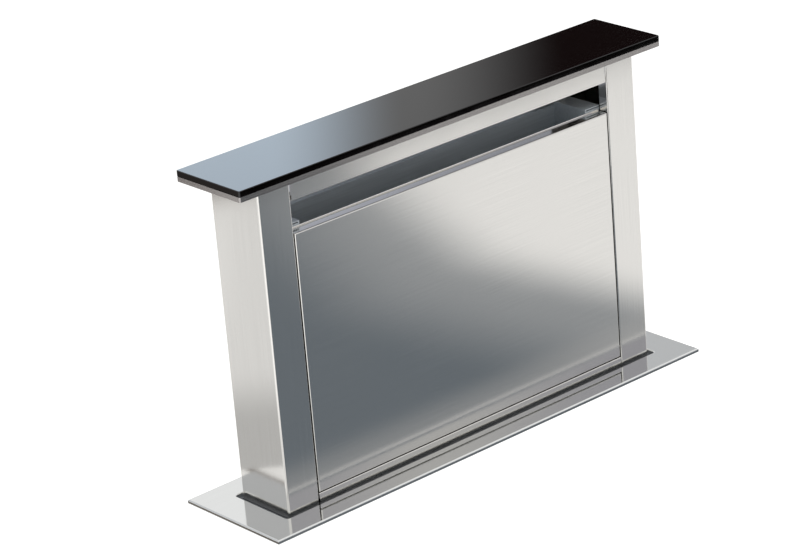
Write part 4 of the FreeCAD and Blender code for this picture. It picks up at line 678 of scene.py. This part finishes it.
@dataclass
class Blower:
    """The blower box with its fan, and the outlet with its damper flaps."""

    finishes: dict[str, Finish] = field(default_factory=lambda: {
        "blower_box": ZINC, "fan_housing": GREY_ABS, "outlet_transition": GREY_ABS,
        "fan_impeller": BLACK_NYLON, "fan_motor": BLACK_ENAMEL, "fan_motor_bracket": ZINC,
        "outlet_collar": ZINC, "damper_pin": GROUND_STEEL,
        "front_damper_flap": BRIGHT_ALUMINIUM, "rear_damper_flap": BRIGHT_ALUMINIUM})

    def build(self) -> None:
        """Dresses the blower."""
        Wardrobe.dress(self.finishes)


# The studio ---------------------------------------------------------------------------------


@dataclass(frozen=True)
class Backdrop(Finish):
    """Matt white paint that reads as pure white, but keeps the object's soft shadow."""

    glow: float = 0.55

    def material(self) -> bpy.types.Material:
        """Builds the paint: what the camera sees of it is lifted to white.

        Returns:
            The material.
        """
        material, tree = blank_material(self.name)
        ray = add(tree, "ShaderNodeLightPath").outputs
        paint = add(tree, "ShaderNodeBsdfDiffuse", {"Color": linear(self.colour)})
        lift = add(tree, "ShaderNodeEmission", {"Color": WHITE, "Strength": self.glow})
        seen = add(tree, "ShaderNodeAddShader", {0: paint.outputs[0], 1: lift.outputs[0]})
        mirrored = add(tree, "ShaderNodeEmission", {"Color": WHITE, "Strength": 1.0})
        direct = add(tree, "ShaderNodeMixShader", {
            0: ray["Is Camera Ray"], 1: paint.outputs[0], 2: seen.outputs[0]})
        either = add(tree, "ShaderNodeMath", {
            0: ray["Is Glossy Ray"], 1: ray["Is Transmission Ray"]}, operation="MAXIMUM")
        shown = add(tree, "ShaderNodeMixShader", {
            0: either.outputs["Value"], 1: direct.outputs[0], 2: mirrored.outputs[0]})
        add(tree, "ShaderNodeOutputMaterial", {"Surface": shown.outputs[0]})
        return material


@dataclass
class Worktop:
    """The white slab that the vent is let into, with its cut-out, and the floor below."""

    x_edges: tuple[float, float] = (-0.66, 0.66)
    y_edges: tuple[float, float] = (-0.53, 0.40)
    thickness: float = 0.038
    cutout: tuple[float, float] = (0.560, 0.116)
    floor_gap: float = 0.012
    floor_size: float = 14.0
    paint: Backdrop = Backdrop("matt_white_board", "F4F4F2")

    def build(self) -> None:
        """Builds the slab and the floor."""
        hole_x, hole_y = (size / 2 for size in self.cutout)
        lines = ((self.x_edges[0], -hole_x, hole_x, self.x_edges[1]),
                 (self.y_edges[0], -hole_y, hole_y, self.y_edges[1]))
        cells = len(lines[0]) - 1
        mesh = bmesh.new()
        bmesh.ops.create_grid(mesh, x_segments=cells, y_segments=cells, size=0.5)
        for vertex in mesh.verts:
            column, row = (round((value + 0.5) * cells) for value in vertex.co.xy)
            vertex.co.x, vertex.co.y = lines[0][column], lines[1][row]
        hole = min(mesh.faces, key=lambda face: face.calc_center_median().xy.length)
        bmesh.ops.delete(mesh, geom=[hole], context="FACES")
        made = bmesh.ops.extrude_face_region(mesh, geom=mesh.faces[:])
        lower = [item for item in made["geom"] if isinstance(item, bmesh.types.BMVert)]
        bmesh.ops.translate(mesh, verts=lower, vec=(0, 0, -self.thickness))
        bmesh.ops.recalc_face_normals(mesh, faces=mesh.faces)
        slab = new_piece("worktop_slab", mesh, self.paint)
        mesh = bmesh.new()
        bmesh.ops.create_grid(mesh, x_segments=1, y_segments=1, size=self.floor_size / 2)
        bmesh.ops.translate(mesh, verts=mesh.verts,
                            vec=(0, 0, CAD_BOX[0][2] - self.floor_gap))
        floor = new_piece("floor", mesh, self.paint)


@dataclass(frozen=True)
class Shade:
    """A stop of a painted reflection: its share of the way, its colour and how far it covers."""

    share: float
    colour: str
    cover: float = 1.0


@dataclass
class Card:
    """A card that glows in reflections only, a painted reflection whose shade runs end to end."""

    name: str
    corner: Vector
    along: Vector
    across: Vector
    shades: tuple[Shade, ...]
    strength: float = 1.0

    def build(self) -> None:
        """Builds the card and hides it from all but glossy rays."""
        mesh = bmesh.new()
        bmesh.ops.create_grid(mesh, x_segments=1, y_segments=1, size=0.5)
        middle = self.corner + (self.along + self.across) / 2
        normal = self.along.cross(self.across).normalized()
        turn = Matrix((self.along, self.across, normal)).transposed().to_4x4()
        bmesh.ops.transform(mesh, matrix=Matrix.Translation(middle) @ turn, verts=mesh.verts)
        card = new_piece(self.name, mesh, None)
        card.data.materials.append(self.material())
        card.visible_camera = False
        card.visible_diffuse = False
        card.visible_transmission = False
        card.visible_volume_scatter = False
        card.visible_shadow = False

    def material(self) -> bpy.types.Material:
        """Builds the card's painted reflection: a glowing ramp of shades along its length.

        Returns:
            The material.
        """
        material, tree = blank_material(self.name + "_painted_reflection")
        place = add(tree, "ShaderNodeTexCoord").outputs["Object"]
        level = self.along - self.along.project(self.across)
        direction = level / level.dot(self.along)
        moved = add(tree, "ShaderNodeVectorMath", {0: place, 1: self.corner},
                    operation="SUBTRACT")
        share = add(tree, "ShaderNodeVectorMath", {
            0: moved.outputs["Vector"], 1: direction}, operation="DOT_PRODUCT")
        ramp = add(tree, "ShaderNodeValToRGB", {"Fac": share.outputs["Value"]})
        ramp.color_ramp.interpolation = "EASE"
        elements = ramp.color_ramp.elements
        while len(elements) < len(self.shades):
            elements.new(0.5)
        while len(elements) > len(self.shades):
            elements.remove(elements[-1])
        for element, shade in zip(elements, self.shades):
            element.position = shade.share
            element.color = linear(shade.colour, shade.cover)
        # the shades glow, though the card is no lamp: a painted reflection for glossy rays only
        light = add(tree, "ShaderNodeEmission", {
            "Color": ramp.outputs["Color"], "Strength": self.strength})
        bare = add(tree, "ShaderNodeBsdfTransparent")
        reflection_glow = add(tree, "ShaderNodeMixShader", {
            0: ramp.outputs["Alpha"], 1: bare.outputs[0], 2: light.outputs[0]})
        add(tree, "ShaderNodeOutputMaterial", {"Surface": reflection_glow.outputs[0]})
        return material


@dataclass
class Studio:
    """The lamps, the cards that paint reflections and the white surroundings.

    The cards on the worktop lie at four heights, so that those that overlap don't share a plane.
    """

    ambient: float = 0.62
    key_place: Vector = Vector((-1.9, -1.2, 2.6))
    key_power: float = 26.0
    fill_place: Vector = Vector((2.4, -1.6, 1.6))
    fill_power: float = 9.0
    lamp_size: float = 2.4
    lamp_target: Vector = Vector((0.0, 0.0, 0.15))
    plate_card_z: float = 0.0006
    floor_card_z: float = 0.0012
    trim_card_z: float = 0.0016
    upper_card_z: float = 0.0020

    def build(self) -> None:
        """Builds the surroundings, the lamps and the cards."""
        self.build_world()
        self.build_lamp("key_lamp", self.key_place, self.key_power)
        self.build_lamp("fill_lamp", self.fill_place, self.fill_power)
        self.build_cards()

    def build_world(self) -> None:
        """Makes the surroundings white to the eye and to reflections, and softer as a light."""
        world = bpy.data.worlds.new("white_surroundings")
        world.use_nodes = True
        tree = world.node_tree
        tree.nodes.clear()
        ray = add(tree, "ShaderNodeLightPath").outputs
        soft = add(tree, "ShaderNodeBackground", {"Color": WHITE, "Strength": self.ambient})
        white = add(tree, "ShaderNodeBackground", {"Color": WHITE, "Strength": 1.0})
        first = add(tree, "ShaderNodeMath", {
            0: ray["Is Camera Ray"], 1: ray["Is Glossy Ray"]}, operation="MAXIMUM")
        shown = add(tree, "ShaderNodeMath", {
            0: first.outputs["Value"], 1: ray["Is Transmission Ray"]}, operation="MAXIMUM")
        mixed = add(tree, "ShaderNodeMixShader", {
            0: shown.outputs["Value"], 1: soft.outputs[0], 2: white.outputs[0]})
        add(tree, "ShaderNodeOutputWorld", {"Surface": mixed.outputs[0]})
        bpy.context.scene.world = world

    def build_lamp(self, name: str, place: Vector, power: float) -> None:
        """Hangs a soft square lamp that points at the object.

        Args:
            name: The lamp's name.
            place: Where it hangs.
            power: Its power in watts.
        """
        data = bpy.data.lights.new(name, "AREA")
        data.energy = power
        data.size = self.lamp_size
        lamp = bpy.data.objects.new(name, data)
        lamp.location = place
        lamp.rotation_euler = (self.lamp_target - place).to_track_quat("-Z", "Y").to_euler()
        lamp.visible_glossy = False
        bpy.context.scene.collection.objects.link(lamp)

    def build_cards(self) -> None:
        """Sets the glowing cards that paint reflections into the steel, the plate and the glass.
        """
        for card in (*self.floor_cards(), *self.plate_cards(), *self.high_cards()):
            card.build()

    def floor_cards(self) -> tuple[Card, ...]:
        """Lays out worktop cards that paint reflections and a highlight into the upright faces.

        Returns:
            The cards.
        """
        # the painted reflection on the panel and the columns' fronts, dark grey to white
        grey_to_white = (Shade(0.35, "707880"), Shade(0.56, "A0A4A8"), Shade(0.70, "FFFFFF"))
        return (
            Card("painted_reflection_near", Vector((-0.295, -0.40, self.floor_card_z)), Vector((1.0, 0, 0)),
                 Vector((0.049, 0.325, 0)), grey_to_white),
            Card("painted_reflection_far", Vector((-0.023, -1.2, self.floor_card_z)), Vector((1.0, 0, 0)),
                 Vector((-0.272, 0.8, 0)), grey_to_white),
            # painted reflection in the panel's lowest band, paler next to the plate
            Card("painted_reflection_at_trim", Vector((-0.40, -0.150, self.trim_card_z)),
                 Vector((0, 0.070, 0)), Vector((0.80, 0, 0)),
                 (Shade(0.0, "C0C0C0", 0.0), Shade(0.85, "C0C0C0", 0.35),
                  Shade(1.0, "D8D8D8", 1.0))),
            # painted dark reflection on the lid's front edge and the tray's front
            Card("painted_dark_reflection_lid_edge", Vector((0.15, -1.05, self.upper_card_z)),
                 Vector((1.1, 0, 0)), Vector((0, 0.246, 0)),
                 (Shade(0.0, "1C1410"), Shade(1.0, "0A0606"))),
            # painted dark reflection on the glass's left end and the top of the left column's end
            Card("painted_dark_reflection_behind_left", Vector((-0.91, 0.641, self.upper_card_z)),
                 Vector((-0.16, 0.217, 0)), Vector((0.24, 0.178, 0)),
                 (Shade(0.0, "8C8480"), Shade(1.0, "7C7470"))),
            # painted reflection, grey to pale, on the left column's end
            Card("painted_reflection_low_behind_left", Vector((-0.3635, 0.033, self.floor_card_z)),
                 Vector((-0.493, 0.576, 0)), Vector((0.091, 0.078, 0)),
                 (Shade(0.15, "C8C8C8"), Shade(0.35, "F0F0F0"))),
            # painted highlight on the left column's front bend, brighter than white
            Card("painted_highlight_left", Vector((-1.1, -1.0, self.floor_card_z)), Vector((0.64, 0, 0)),
                 Vector((0, 0.94, 0)), (Shade(0.0, "FFFFFF"),), strength=1.35))

    def plate_cards(self) -> tuple[Card, ...]:
        """Lays out painted shade for the plate's sides and painted reflections for its top.

        Returns:
            The cards.
        """
        return (
            # dark strips whose reflection paints the plate's side faces as if in shadow
            Card("painted_shadow_before_plate", Vector((-0.31, -0.0806, self.plate_card_z)),
                 Vector((0.62, 0, 0)), Vector((0, 0.0079, 0)),
                 (Shade(0.0, "6E7378"), Shade(1.0, "64696E"))),
            Card("painted_shadow_left_of_plate", Vector((-0.3082, -0.08, self.plate_card_z)),
                 Vector((0, 0.17, 0)), Vector((0.0078, 0, 0)),
                 (Shade(0.0, "6E6862"), Shade(1.0, "7C7670"))),
            # upright cards, no walls: painted reflections in the plate's top and the tower's foot
            Card("painted_reflection_upright_front_right", Vector((0.45, -1.45, 0.30)), Vector((0.9, 0.77, 0)),
                 Vector((0, 0, 0.62)),
                 (Shade(0.25, "B8B8C0"), Shade(0.45, "D8D8D8"), Shade(0.65, "B8B8C0"))),
            Card("painted_reflection_upright_behind_left", Vector((-1.25, 0.85, 0.35)), Vector((0.62, 0.5, 0)),
                 Vector((0, 0, 0.6)), (Shade(0.0, "DADCE0"),)),
            Card("painted_reflection_upright_behind_right", Vector((0.95, 0.8, 0.36)), Vector((0.5, 0, 0)),
                 Vector((0, 0, 0.26)), (Shade(0.0, "CCCDCF"),)))

    def high_cards(self) -> tuple[Card, ...]:
        """Hangs the cards that paint reflections into the lid's glass and the panel's top fold.

        Returns:
            The cards.
        """
        return (
            # painted reflection on the panel's top fold, bluish grey
            Card("painted_reflection_over_fold", Vector((-0.19, 0.0236, 0.299)), Vector((0.38, 0, 0)),
                 Vector((0, 0, 0.028)), (Shade(0.0, "B8BCC8"), Shade(1.0, "9A9DA6"))),
            # painted reflection on the lid's glass, from pale blue to near black
            Card("painted_reflection_for_glass", Vector((0.20, 0.8, 0.66)), Vector((1.0, 0, 0)),
                 Vector((0, 0, 0.14)),
                 (Shade(0.20, "E0F0FF"), Shade(0.45, "808080"), Shade(0.75, "181010")),
                 strength=2.9))


@dataclass
class Photographer:
    """The camera, where the photograph was taken from."""

    position: Vector = Vector((-2.05048, -2.39050, 1.45317))
    target: Vector = Vector((0.0, 0.0, 0.12384))
    roll: float = -0.077937
    focal_px: float = 3280.58
    centre_px: tuple[float, float] = (444.53, 317.25)
    picture_px: tuple[int, int] = (800, 560)
    sensor_mm: float = 36.0
    reach: float = 60.0

    def build(self) -> None:
        """Sets up the camera."""
        forward = (self.target - self.position).normalized()
        level = forward.cross(UP).normalized()
        upward = level.cross(forward)
        right = level * math.cos(self.roll) + upward * math.sin(self.roll)
        up = upward * math.cos(self.roll) - level * math.sin(self.roll)
        width, height = self.picture_px
        data = bpy.data.cameras.new("camera")
        data.sensor_width = self.sensor_mm
        data.lens = self.focal_px * self.sensor_mm / width
        data.shift_x = (width / 2 - self.centre_px[0]) / width
        data.shift_y = (self.centre_px[1] - height / 2) / width
        data.clip_end = self.reach
        camera = bpy.data.objects.new("camera", data)
        turn = Matrix((right, up, -forward)).transposed().to_4x4()
        camera.matrix_world = Matrix.Translation(self.position) @ turn
        bpy.context.scene.collection.objects.link(camera)
        bpy.context.scene.camera = camera


def main() -> None:
    """Builds the camera, the studio and the object's sub-assemblies."""
    logging.basicConfig(level=logging.INFO, format="%(name)s: %(message)s")
    bpy.context.scene.view_settings.view_transform = "Standard"
    Photographer().build()
    Worktop().build()
    Studio().build()
    for assembly in (Trim(), Tower(), GreaseFilter("left"), GreaseFilter("right"), Lift(),
                     Chassis(), Blower()):
        assembly.build()
        LOG.info("built %s", type(assembly).__name__)


if __name__ == "__main__":
    main()
